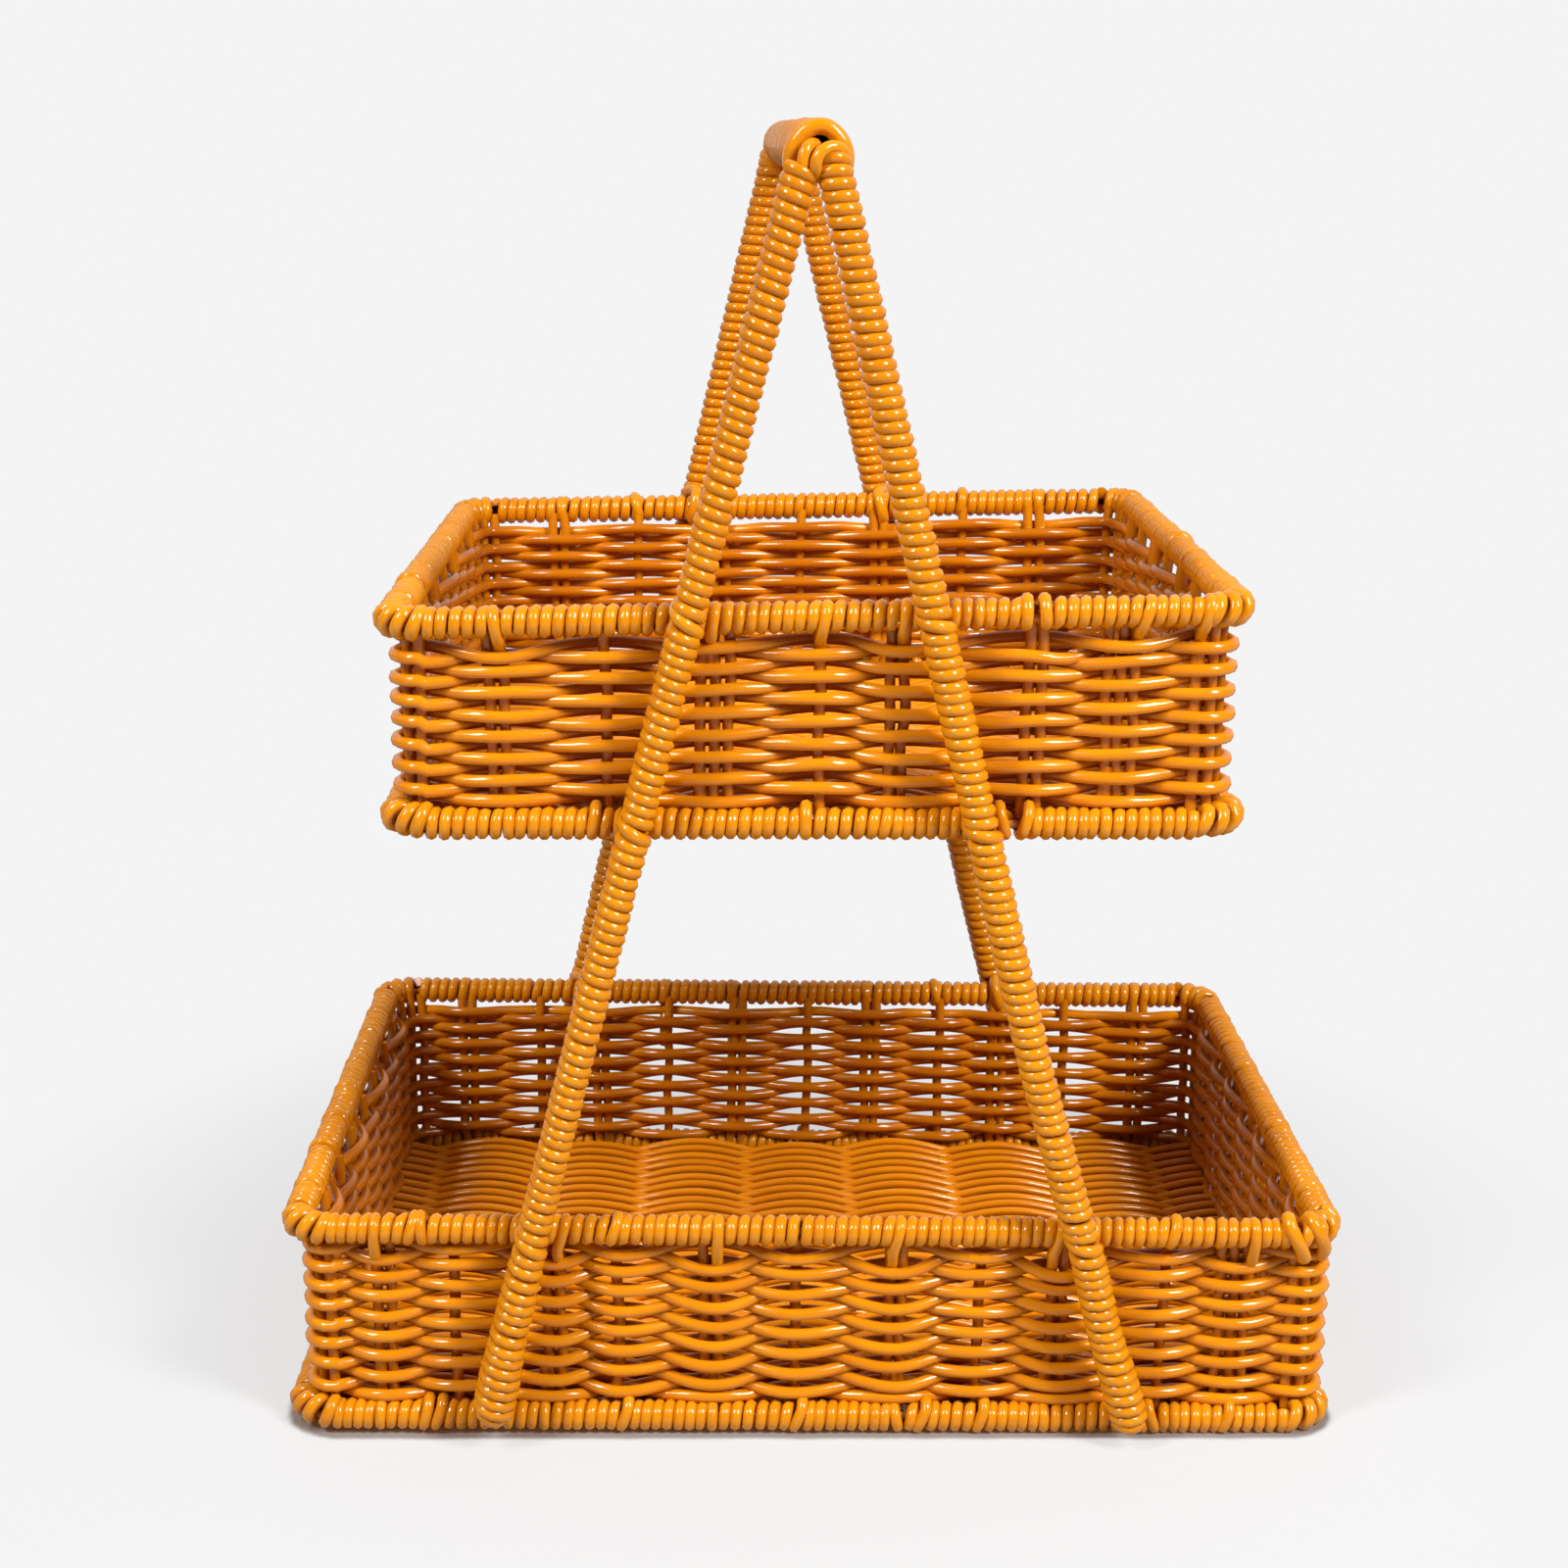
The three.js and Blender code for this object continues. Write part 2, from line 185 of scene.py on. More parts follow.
# %% [markdown]
# # Floor
# White paper, lit like everything else, so it returns light to the undersides. Seen by the camera it is
# mostly the plain background tone, mixed near the basket with as much lit paper as keeps a faint shadow.
# Right at the rim an ambient occlusion node paints a thin brown contact shadow into the background tone,
# the dark line that says the basket stands on the paper.

# %% Paper with a faint shadow
shadow_share = 0.34
paper_tone = 0.42
seen_paper_tone = 0.60
contact_reach = 0.0085
contact_shadow_brown = (0.12, 0.045, 0.014, 1)
darkest_contact = 0.60
palest_contact = 0.76
fade_start = 0.20
fade_end = 0.42
bpy.ops.object.select_all(action="DESELECT")
bpy.ops.mesh.primitive_circle_add(vertices=96, radius=6, fill_type="NGON", location=(0, 0, 0))
floor = bpy.context.object
floor.name = "floor"
floor_material = bpy.data.materials.new("floor_paper")
tree = cleared_tree(floor_material)
paper = add_node(tree, "ShaderNodeBsdfDiffuse", {"Color": grey(paper_tone)})
seen_paper = add_node(tree, "ShaderNodeBsdfDiffuse", {"Color": grey(seen_paper_tone)})
# Painted contact shadow: ambient occlusion mixes a brown shadow tone into the glow the camera sees.
contact = add_node(tree, "ShaderNodeAmbientOcclusion", {"Distance": contact_reach})
openness = remap(tree, contact.outputs["AO"], darkest_contact, palest_contact, shape="SMOOTHSTEP")
contact_tones = {"Factor": openness, "A": contact_shadow_brown, "B": grey(background_tone)}
contact_colour = add_node(tree, "ShaderNodeMix", contact_tones, data_type="RGBA")
glow = add_node(tree, "ShaderNodeEmission", {"Color": contact_colour.outputs["Result"]})
place = add_node(tree, "ShaderNodeTexCoord")
distance = add_node(tree, "ShaderNodeVectorMath", {0: place.outputs["Object"]}, operation="LENGTH")
fade = remap(tree, distance.outputs["Value"], fade_start, fade_end, 1 - shadow_share, 1, "SMOOTHSTEP")
seen = add_node(tree, "ShaderNodeMixShader", {"Fac": fade, 1: seen_paper.outputs[0], 2: glow.outputs[0]})
add_node(tree, "ShaderNodeOutputMaterial", {"Surface": for_camera(tree, paper, seen)})
floor.data.materials.append(floor_material)

# %% [markdown]
# # Cane
# Extruded cane is smooth plastic with a satin gloss. Close up it has fine streaks along its length, slow
# changes from honey to amber, and a few small scuffs. The streaks have to follow each strand however it
# bends, so every strand carries its own coordinate: two numbers that go round it and one that runs along
# it, in millimetres. A third attribute holds painted shade: it darkens the grooves between turns, the
# passes of each row behind the stakes, the stakes, and the heads of legs and handle, where shade falls.
# The pattern sits in a node group, because weave, wraps and mats use it with different tones.

# %% The pattern of cane as a node group
# How much slow changes, the strand's own tone and streaks each move the colour from honey to amber.
slow_share = 0.40
strand_share = 0.38
streak_share = 0.22
# How strongly scuffs show, and the tint that paints shade into grooves and shaded passes.
scuff_share = 0.35
scuff_tint = (0.22, 0.06, 0.01, 1)
painted_shade_tint = (0.50, 0.33, 0.25, 1)
# Roughness goes from smoothest to roughest_streak with the streaks, and a speck adds more.
smoothest = 0.12
roughest_streak = 0.18
speck_roughness = 0.14
slow_height = 0.6


def cane_pattern_group():
    group = bpy.data.node_groups.new("cane_pattern", "ShaderNodeTree")
    for socket in ("Honey", "Amber"):
        group.interface.new_socket(socket, in_out="INPUT", socket_type="NodeSocketColor")
    group.interface.new_socket("Color", in_out="OUTPUT", socket_type="NodeSocketColor")
    for socket in ("Roughness", "Height"):
        group.interface.new_socket(socket, in_out="OUTPUT", socket_type="NodeSocketFloat")
    inside = add_node(group, "NodeGroupInput")
    grain = add_node(group, "ShaderNodeAttribute", attribute_name="grain")
    tone = add_node(group, "ShaderNodeAttribute", attribute_name="tone")
    painted_shade = add_node(group, "ShaderNodeAttribute", attribute_name="painted_shade")

    def noise(scale_round, scale_along, detail):
        """Noise that is scale_round fine round the strand and scale_along fine along it."""
        scales = (scale_round, scale_round, scale_along)
        stretch = add_node(group, "ShaderNodeVectorMath", {0: grain.outputs["Vector"], 1: scales},
                           operation="MULTIPLY")
        pattern = add_node(group, "ShaderNodeTexNoise",
                           {"Vector": stretch.outputs["Vector"], "Scale": 1, "Detail": detail})
        return pattern.outputs["Fac"]

    def add(first, second):
        return add_node(group, "ShaderNodeMath", {0: first, 1: second}).outputs[0]

    def share(value, part):
        return add_node(group, "ShaderNodeMath", {0: value, 1: part}, operation="MULTIPLY").outputs[0]

    def mix(factor, first, second, blend_type="MIX"):
        inputs = {"Factor": factor, "A": first, "B": second}
        made = add_node(group, "ShaderNodeMix", inputs, data_type="RGBA", blend_type=blend_type)
        return made.outputs["Result"]

    slow = remap(group, noise(0.25, 0.045, 2), 0.35, 0.65)
    streaks = remap(group, noise(2.2, 0.035, 3), 0.3, 0.7)
    specks = remap(group, noise(1.3, 0.7, 1), 0.70, 0.76)
    mixed = add(share(slow, slow_share), share(tone.outputs["Fac"], strand_share))
    mixed = add(mixed, share(streaks, streak_share))
    shade = mix(mixed, inside.outputs["Honey"], inside.outputs["Amber"])
    scuffed = mix(share(specks, scuff_share), shade, scuff_tint)
    streak_roughness = remap(group, streaks, 0, 1, smoothest, roughest_streak)
    # The colour is multiplied down by the painted shade of the grooves and shaded passes.
    add_node(group, "NodeGroupOutput",
             {"Color": mix(painted_shade.outputs["Fac"], scuffed, painted_shade_tint, "MULTIPLY"),
              "Roughness": add(streak_roughness, share(specks, speck_roughness)),
              "Height": add(streaks, share(slow, slow_height))})
    return group


cane_pattern = cane_pattern_group()
relief_strength = 0.12
relief_height = 0.0002
plastic_ior = 1.46


def cane_material(name, honey, amber):
    """Glossy cane. The two tones are linear colours that the pattern mixes."""
    material = bpy.data.materials.new(name)
    material.use_nodes = True
    tree = material.node_tree
    tones = {"Honey": (*honey, 1), "Amber": (*amber, 1)}
    pattern = add_node(tree, "ShaderNodeGroup", tones, node_tree=cane_pattern)
    relief = add_node(tree, "ShaderNodeBump",
                      {"Strength": relief_strength, "Distance": relief_height,
                       "Height": pattern.outputs["Height"]})
    skin = tree.nodes["Principled BSDF"]
    skin.inputs["IOR"].default_value = plastic_ior
    tree.links.new(pattern.outputs["Color"], skin.inputs["Base Color"])
    tree.links.new(pattern.outputs["Roughness"], skin.inputs["Roughness"])
    tree.links.new(relief.outputs["Normal"], skin.inputs["Normal"])
    return material


honey_cane = cane_material("honey_cane", (0.76, 0.285, 0.004), (0.63, 0.198, 0.002))
weaver_cane = cane_material("weaver_cane", (0.76, 0.262, 0.003), (0.62, 0.178, 0.002))
# Stakes take this darker copy of the cane as painted shade, for the shadow they stand in.
amber_cane = cane_material("amber_cane", (0.72, 0.245, 0.004), (0.57, 0.165, 0.002))
# Mats take this brighter copy of the cane as painted light on the tray floors.
mat_cane = cane_material("mat_cane", (0.84, 0.285, 0.004), (0.70, 0.200, 0.002))

# %% [markdown]
# # Laying strands
# A strand is a line of points with a round bevel. Points are kept in millimetres while the paths are
# worked out, which keeps the sizes readable. The curve becomes a mesh at the end, its cut ends are
# closed, and each strand gets a tone of its own.

# %% From lines of points to a piece of cane work
# A strand's middle stays this share of its thickness above the floor.
resting_share = 0.52
sharpest_smooth_edge = math.radians(75)
grain_spread = 5000
# Painted shade begins where a corner faces less open than this, and is complete this much further round.
painted_shade_start = 0.55
painted_shade_fade = 0.65


def strand(points, thickness, closed=False, girth=1.0, facing=None, painted_shade_amount=0.0):
    """One length of cane through points in millimetres. Girth scales its thickness point by point. Facing
    gives the open side of a strand in a row of turns, and painted_shade_amount how much shade is painted
    on it, from 0 to 1."""
    return {"points": points, "thickness": thickness, "closed": closed, "facing": facing,
            "girth": np.broadcast_to(girth, len(points)), "painted_shade_amount": np.broadcast_to(painted_shade_amount, len(points))}


def lay(name, strands, material, replaced=(), sides=8):
    """Makes one piece of the object from its strands. A strand that would sink into the floor lies on it."""
    curve = bpy.data.curves.new(name, "CURVE")
    curve.dimensions = "3D"
    same_area = math.sqrt(math.pi / (sides / 2 * math.sin(2 * math.pi / sides)))
    curve.bevel_depth = 0.5 * millimetre * same_area
    curve.bevel_resolution = (sides - 4) // 2
    curve.use_fill_caps = False
    for piece in strands:
        resting = piece["girth"] * piece["thickness"] * resting_share
        piece["points"][:, 2] = np.maximum(piece["points"][:, 2], resting)
        line = curve.splines.new("POLY")
        count = len(piece["points"])
        line.points.add(count - 1)
        places = np.hstack([piece["points"] * millimetre, np.ones((count, 1))])
        line.points.foreach_set("co", places.ravel())
        line.points.foreach_set("radius", piece["girth"] * piece["thickness"])
        line.use_cyclic_u = piece["closed"]
    work = bpy.data.objects.new(name, curve)
    scene.collection.objects.link(work)
    bpy.ops.object.select_all(action="DESELECT")
    work.select_set(True)
    bpy.context.view_layer.objects.active = work
    bpy.ops.object.convert(target="MESH")
    write_grain(work.data, strands, sides)
    bpy.ops.object.mode_set(mode="EDIT")
    bpy.ops.mesh.select_all(action="SELECT")
    bpy.ops.mesh.fill_holes(sides=sides)
    bpy.ops.object.mode_set(mode="OBJECT")
    bpy.ops.object.shade_smooth_by_angle(angle=sharpest_smooth_edge)
    work.data.materials.clear()
    work.data.materials.append(material)
    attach(work, "root")
    if replaced:
        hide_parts(*replaced)
    print(name, len(strands), "strands", len(work.data.polygons), "faces")


def write_grain(mesh, strands, sides):
    """Stores the strand coordinate, the tone of each strand and the painted shade on the corners of the
    mesh.
    """
    grain = []
    tone = []
    painted_shade = []
    angle = np.arange(sides) / sides * 2 * math.pi
    corners = np.empty(len(mesh.vertices) * 3)
    mesh.vertices.foreach_get("co", corners)
    corners = corners.reshape(-1, 3) / millimetre
    done = 0
    for piece in strands:
        points = piece["points"]
        steps = np.linalg.norm(np.diff(points, axis=0), axis=1)
        reach = np.concatenate([[0], np.cumsum(steps)]) + chance.uniform(0, grain_spread)
        radius = piece["thickness"] / 2
        ring = np.stack([radius * np.cos(angle), radius * np.sin(angle)], axis=1)
        count = len(points)
        grain.append(np.hstack([np.tile(ring, (count, 1)), np.repeat(reach, sides)[:, None]]))
        tone.append(np.full(count * sides, chance.uniform()))
        dark = np.repeat(piece["painted_shade_amount"], sides)
        # Painted shade on the side of each turn that faces away from its open side, in the grooves between
        # turns.
        if piece["facing"] is not None:
            spokes = corners[done:done + count * sides].reshape(count, sides, 3) - points[:, None, :]
            openness = (spokes * piece["facing"][:, None, :]).sum(2) / np.linalg.norm(spokes, axis=2)
            dark = np.maximum(dark, np.clip((painted_shade_start - openness.ravel()) / painted_shade_fade, 0, 1))
        painted_shade.append(dark)
        done += count * sides
    if done != len(mesh.vertices):
        raise ValueError(f"{mesh.name}: {len(mesh.vertices)} corners, {done} expected")
    grain = np.concatenate(grain).astype(np.float32)
    mesh.attributes.new("grain", "FLOAT_VECTOR", "POINT").data.foreach_set("vector", grain.ravel())
    for name, values in (("tone", tone), ("painted_shade", painted_shade)):
        values = np.concatenate(values).astype(np.float32)
        mesh.attributes.new(name, "FLOAT", "POINT").data.foreach_set("value", values)


def smooth_line(points, steps, closed=False):
    """More points on a curve that passes through the given ones."""
    points = np.asarray(points, float)
    if closed:
        padded = np.vstack([points[-1], points, points[0], points[1]])
    else:
        padded = np.vstack([2 * points[0] - points[1], points, 2 * points[-1] - points[-2]])
    out = []
    part = (np.arange(steps) / steps)[:, None]
    for before, start, end, after in zip(padded, padded[1:], padded[2:], padded[3:]):
        out.append(0.5 * (2 * start + (end - before) * part
                          + (2 * before - 5 * start + 4 * end - after) * part**2
                          + (3 * start - before - 3 * end + after) * part**3))
    if not closed:
        out.append(points[-1:])
    return np.concatenate(out)


# %% [markdown]
# # Sizes read from the frame
# Every rim is a rounded rectangle. The wires give their size, the walls give the line that the weavers
# cross, and the sleeves of the legs and of the handle give their two ends.

# %% Rounded rectangles and straight axes
def unit(vector):
    return vector / np.linalg.norm(vector)


def box_mm(node):
    """The low and the high corner of a node, in millimetres."""
    low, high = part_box(node)
    return np.array(low) / millimetre, np.array(high) / millimetre


def ring_outline(half_width, half_depth, corner, middle_x):
    """A rounded rectangle, walked from the left end of its front, anticlockwise seen from above."""
    points = []
    outward = []
    middles = []
    length = 0.0
    step = 1.0
    for side in range(4):
        angle = side * math.pi / 2
        along = np.array([math.cos(angle), math.sin(angle)])
        out = np.array([along[1], -along[0]])
        half, away = (half_width, half_depth) if side % 2 == 0 else (half_depth, half_width)
        straight = np.arange(-(half - corner), half - corner, step)
        middles.append(length + half - corner)
        points += [along * s + out * away for s in straight]
        outward += [out] * len(straight)
        centre = along * (half - corner) + out * (away - corner)
        for bend in np.linspace(0, math.pi / 2, 13)[:-1]:
            direction = out * math.cos(bend) + along * math.sin(bend)
            points.append(centre + corner * direction)
            outward.append(direction)
        length += 2 * (half - corner) + corner * math.pi / 2
    points = np.array(points)
    points[:, 0] += middle_x
    steps = np.linalg.norm(np.diff(np.vstack([points, points[:1]]), axis=0), axis=1)
    reach = np.concatenate([[0], np.cumsum(steps)])
    return {"points": points, "outward": np.array(outward), "reach": reach, "length": reach[-1],
            "middles": np.array(middles) * reach[-1] / length, "bend": corner * math.pi / 2,
            "halves": np.array([half_width - corner, half_depth - corner] * 2), "middle_x": middle_x}


def ring_at(ring, reach):
    """Plan points and outward directions at distances along a ring."""
    wrapped = np.mod(reach, ring["length"])

    def read(values):
        looped = np.vstack([values, values[:1]])
        return np.stack([np.interp(wrapped, ring["reach"], looped[:, i]) for i in range(2)], axis=1)

    outward = read(ring["outward"])
    return read(ring["points"]), outward / np.linalg.norm(outward, axis=1)[:, None]


def sleeve_ends(node, axis=2):
    """Centres of the two end faces of a sleeve, lower one first along the given axis."""
    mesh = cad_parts[node].data
    corners = np.unique(np.round([v.co for v in mesh.vertices], 6), axis=0) / millimetre
    middle = corners[:, axis].mean()
    return corners[corners[:, axis] < middle].mean(0), corners[corners[:, axis] > middle].mean(0)


print("left front leg runs", sleeve_ends("front_left_leg_wrap"))

# %% The two trays
wire_corner = 12.0
wall_corner = 8.0
wall_shift = {"lower": 2.0, "upper": 0.0}


def read_tray(name):
    """Rings and levels of a tray, from its wires, walls and mat."""
    tray = {"name": name}
    for rim in ("bottom_rim", "top_rim"):
        low, high = box_mm(f"{name}_{rim}_wire")
        wire = high[2] - low[2]
        half = (high - low - wire) / 2
        tray[rim] = ring_outline(half[0], half[1], wire_corner, (low[0] + high[0]) / 2)
        tray[f"{rim}_level"] = (low[2] + high[2]) / 2
    front_low, front_high = box_mm(f"{name}_front_wall")
    side_low, side_high = box_mm(f"{name}_right_wall")
    middle_x = (front_low[0] + front_high[0]) / 2
    wall_x = (side_low[0] + side_high[0]) / 2 - middle_x
    wall_y = -(front_low[1] + front_high[1]) / 2
    tray["wall"] = ring_outline(wall_x, wall_y, wall_corner, middle_x + wall_shift[name])
    tray["wall_levels"] = (front_low[2], front_high[2])
    tray["wall_half_thickness"] = (front_high[1] - front_low[1]) / 2
    tray["mat"] = box_mm(f"{name}_mat")
    return tray


lower = read_tray("lower")
upper = read_tray("upper")
all_rims = [(tray, rim) for tray in (lower, upper) for rim in ("bottom_rim", "top_rim")]
for tray in (lower, upper):
    rim_levels = [tray["bottom_rim_level"], tray["top_rim_level"]]
    print(tray["name"], "tray: rims at", np.round(rim_levels, 1), "walls", np.round(tray["wall_levels"], 1))

# %% [markdown]
# # Stakes
# Stakes are the uprights of a woven wall. Here they stand alone, in pairs or in threes, and neighbours
# take opposite sides: where a row passes in front of one group it passes behind the next. The groups of
# the two front walls are set where the photograph shows them. On the other walls they are spaced by the
# same habit. A group is its place along the side, how many stakes it has, and how far the front rows sag
# there.

# %% Groups of stakes round each tray
side_groups = 7
corner_stakes = np.array([-7.5, -2.0, 4.0])
corner_sag = 0.8
upper_groups_front = [(-112.9, 2, 0.7), (-75.3, 1, 0.2), (-38.0, 3, 1.0), (-0.3, 1, 0.1),
                      (26.3, 2, 1.7), (73.9, 2, 0.2), (105.0, 3, 0.9)]
lower_groups_front = [(-160.8, 2, 2.0), (-133.8, 1, 0.3), (-96.9, 2, 2.8), (-72.5, 1, 2.2), (-37.4, 2, 3.6),
                      (-6.8, 1, 2.0), (30.5, 2, 3.5), (61.9, 1, 0.7), (91.9, 2, 2.8), (130.6, 1, 1.2),
                      (158.4, 3, 1.4)]


def spread_groups(half, count):
    """Pairs and single stakes in turn, evenly spread over a side with a little unevenness."""
    places = np.linspace(-half, half, count + 2)[1:-1] + chance.uniform(-2.5, 2.5, count)
    groups = []
    for i, place in enumerate(places):
        is_pair = i % 2 == 0
        sag = chance.uniform(1.2, 2.6) if is_pair else chance.uniform(0.2, 1.4)
        groups.append((place, 2 if is_pair else 1, sag))
    return groups


def place_groups(tray, front):
    """All groups of a tray as dictionaries in order along the wall ring, the four corners included."""
    ring = tray["wall"]
    half_width, half_depth = ring["halves"][:2] + wall_corner
    sides = [front, spread_groups(half_depth, side_groups), spread_groups(half_width, len(front)),
             spread_groups(half_depth, side_groups)]
    groups = []
    for side, listed in enumerate(sides):
        shift = ring["middle_x"] if side == 0 else 0
        for along, stakes, sag in listed:
            groups.append({"reach": ring["middles"][side] + along - shift, "side": side,
                           "along": along - shift, "stakes": stakes, "sag": sag})
        corner_reach = ring["middles"][side] + ring["halves"][side] + ring["bend"] / 2
        groups.append({"reach": corner_reach, "side": None, "along": 0, "stakes": len(corner_stakes),
                       "sag": corner_sag})
    tray["groups"] = groups
    print(tray["name"], "tray has", len(groups), "groups")


place_groups(lower, lower_groups_front)
place_groups(upper, upper_groups_front)

# %% [markdown]
# # Weavers
# A row is a closed ring that swings out and in as it passes the groups, like a cosine whose crests sit
# on the groups. Between two groups the rows of both kinds cross, one resting on the next. In front of a
# group a row has nothing below it, so it sags. That sag gives the wall its rows of lens shapes. The
# rings are worked out point by point rather than bent by a modifier, because each row needs its own
# waver.

# %% Rows of a wall
# The rows swing a little further than the wall is thick, and their passes behind carry painted shade.
weaver_thickness = 4.4
ring_step = 2.6
crest_softness = 0.02
extra_swing = 0.3
most_painted_shade_amount = 0.6
# How uneven the rows are, how much further the last of them sag, and how the rims slope.
waver_points = 70
waver_size = 0.30
sag_unevenness = 0.08
swing_unevenness = 0.05
girth_unevenness = 0.03
top_sags = {"lower": 1.6, "upper": 0.7}
row_tilt = {"lower": (-0.0060, -0.0046), "upper": (0.0044, 0.0231)}
rim_offset = lower["bottom_rim"]["halves"][1] + wire_corner - lower["wall"]["halves"][1] - wall_corner
rim_radius = 5.8
rim_overlap = 0.5
rim_clearance = rim_radius + weaver_thickness / 2 - rim_overlap


def lift(tray, x, level):
    """How much the rims' slight tilt lifts a point of a tray at x."""
    low, high = row_tilt[tray["name"]]
    share = (level - tray["bottom_rim_level"]) / (tray["top_rim_level"] - tray["bottom_rim_level"])
    return (low + (high - low) * share) * x


def weave_rows(tray, first_level, row_pitch, row_count, drift, view_bias, strays):
    """The closed rings of a wall's weavers. The view bias turns the sag that is seen from a little above,
    where a bulge looks lower than it is, into true sag. Strays are (row, distance along the front, extra
    sag, reach)."""
    ring = tray["wall"]
    groups = tray["groups"]
    count = len(groups)
    reach = np.arange(0, ring["length"], ring_step)
    group_reach = np.array([g["reach"] for g in groups])
    looped_reach = [group_reach[-1] - ring["length"], *group_reach, group_reach[0] + ring["length"]]
    order = np.interp(reach, looped_reach, np.arange(-1, count + 1))
    nearest = np.mod(np.round(order).astype(int), count)
    swing = np.cos(math.pi * order)
    near_group = (np.abs(swing) + np.sqrt(swing**2 + crest_softness)) / 2
    sag_front = np.array([g["sag"] for g in groups])[nearest] - view_bias
    is_even = nearest % 2 == 0
    amplitude = tray["wall_half_thickness"] - weaver_thickness / 2
    drift_places, drift_sizes = np.array(drift, float).T
    drift_along = np.interp(reach, ring["middles"][0] + drift_places, drift_sizes)
    rows = []
    for k in range(row_count):
        passes_even = k % 2 == 0
        sign = 1 if passes_even else -1
        in_front = is_even == passes_even
        waver = chance.normal(0, waver_size, waver_points)
        waver = np.interp(reach, np.linspace(0, ring["length"], waver_points), waver)
        level = first_level + row_pitch * k + drift_along * min(1, k / 3)
        top_sag = top_sags[tray["name"]] * max(0, k - row_count + 3) / 2
        sag = (sag_front + top_sag) * chance.normal(1, sag_unevenness)
        sag = np.where(in_front, sag, -0.6 * view_bias) * near_group
        for row, along, extra, width in strays:
            if row == k:
                away = (reach - ring["middles"][0] - along + ring["middle_x"]) / width
                sag = sag + extra * np.exp(-away**2)
        z = level - sag + waver
        out = sign * swing * (amplitude + extra_swing) * (1 + swing_unevenness * np.sin(reach / 37 + k))
        beside_rim = np.sqrt(np.maximum(rim_clearance**2 - (out - rim_offset)**2, 0))
        z = np.clip(z, tray["bottom_rim_level"] + beside_rim, tray["top_rim_level"] - beside_rim)
        plan, outward = ring_at(ring, reach)
        points = np.column_stack([plan + outward * out[:, None], z])
        points[:, 2] += lift(tray, points[:, 0], z)
        # Painted shade on the passes behind the stakes, where the rows lie in shadow.
        behind = np.clip(0.25 - 0.5 * out / amplitude, 0, most_painted_shade_amount)
        girth = 1 + girth_unevenness * np.sin(reach / 23 + 2 * k)
        rows.append(strand(points, weaver_thickness, closed=True, girth=girth, painted_shade_amount=behind))
    return rows


# %% Stakes of a wall
stake_thickness = 4.0
stake_spacing = 4.9
stake_points = 9
stake_lean = 1.0
stake_waver = 0.35
# Stakes carry this much painted shade, for the shadow behind the rows.
stake_painted_shade = 0.18


def group_stakes(group):
    """Distances along the wall ring of the stakes in a group."""
    if group["side"] is None:
        return group["reach"] + corner_stakes
    return group["reach"] + (np.arange(group["stakes"]) - (group["stakes"] - 1) / 2) * stake_spacing


def wall_stakes(tray):
    """Uprights from inside the bottom rim to inside the top rim."""
    ring = tray["wall"]
    low = tray["bottom_rim_level"]
    high = tray["top_rim_level"]
    stakes = []
    for group in tray["groups"]:
        lean = chance.normal(0, stake_lean)
        for reach in group_stakes(group):
            levels = np.linspace(low + 1, high - 1, stake_points)
            wander = lean * (levels - low) / (high - low) + chance.normal(0, stake_waver, stake_points)
            plan, outward = ring_at(ring, reach + wander)
            inset = np.interp(levels, [low + 1, low + 9, high - 9, high - 1], [1.0, 0, 0, 1.0])
            points = np.column_stack([plan + outward * inset[:, None], levels])
            points[:, 2] += lift(tray, points[:, 0], levels)
            stakes.append(strand(smooth_line(points, 2), stake_thickness, painted_shade_amount=stake_painted_shade))
    return stakes


wall_names = ("front", "right", "rear", "left")
front_drift = {"lower": [(-190, 1.5), (-165, 2.2), (-90, 1.6), (-30, 0.0), (110, -0.4), (180, 1.0)],
               "upper": [(-120, -0.6), (13, 0.0), (50, -1.0), (90, -0.6), (130, 0.8)]}
stray_rows = {"lower": [(15, -160.8, 2.6, 13), (15, -96.9, 2.4, 12), (14, 91.9, 2.0, 14),
                        (15, 158.4, 2.2, 14)],
              "upper": [(14, -112.9, 2.6, 15), (14, 26.3, 1.2, 16), (14, 112.0, 2.2, 18),
                        (13, 86.0, 2.4, 12)]}
# Tray, level of the first row, distance between rows, number of rows, view bias.
weaves = ((lower, 11.6, 4.04, 16, 1.1), (upper, 246.6, 4.06, 15, 1.0))
for tray, first, pitch, count, view_bias in weaves:
    name = tray["name"]
    rows = weave_rows(tray, first, pitch, count, front_drift[name], view_bias, stray_rows[name])
    lay(f"{name}_weave", rows, weaver_cane, [f"{name}_{side}_wall" for side in wall_names])
    lay(f"{name}_stakes", wall_stakes(tray), amber_cane)

# %% [markdown]
# # Mats
# The floor of a tray is woven like the walls, but packed tight: rows run from left to right over six or
# seven pairs of stakes that run from front to back. All rows of one kind rise over the same pairs, which
# makes broad waves. The last row stops short of the rear rim, so that its turns show behind the mat.

# %% Rows and stakes of the mats
mat_cane_thickness = 4.05
mat_rows_short_at_rear = 1
mat_row_pitch = 4.05
mat_step = 4.0
mat_margin = 6.5
mat_rise_share = 0.94
mat_waver_points = 14
mat_waver_size = 0.35
mat_stake_thickness = 3.6
mat_stake_shifts = (-2.1, 2.1)
mat_stake_points = 12
mat_stake_waver = 0.4
lower_mat_stakes = [-143, -97, -48, -1, 45.5, 93.5, 141.5]
upper_mat_stakes = [-118, -72, -24, 22, 68, 113]


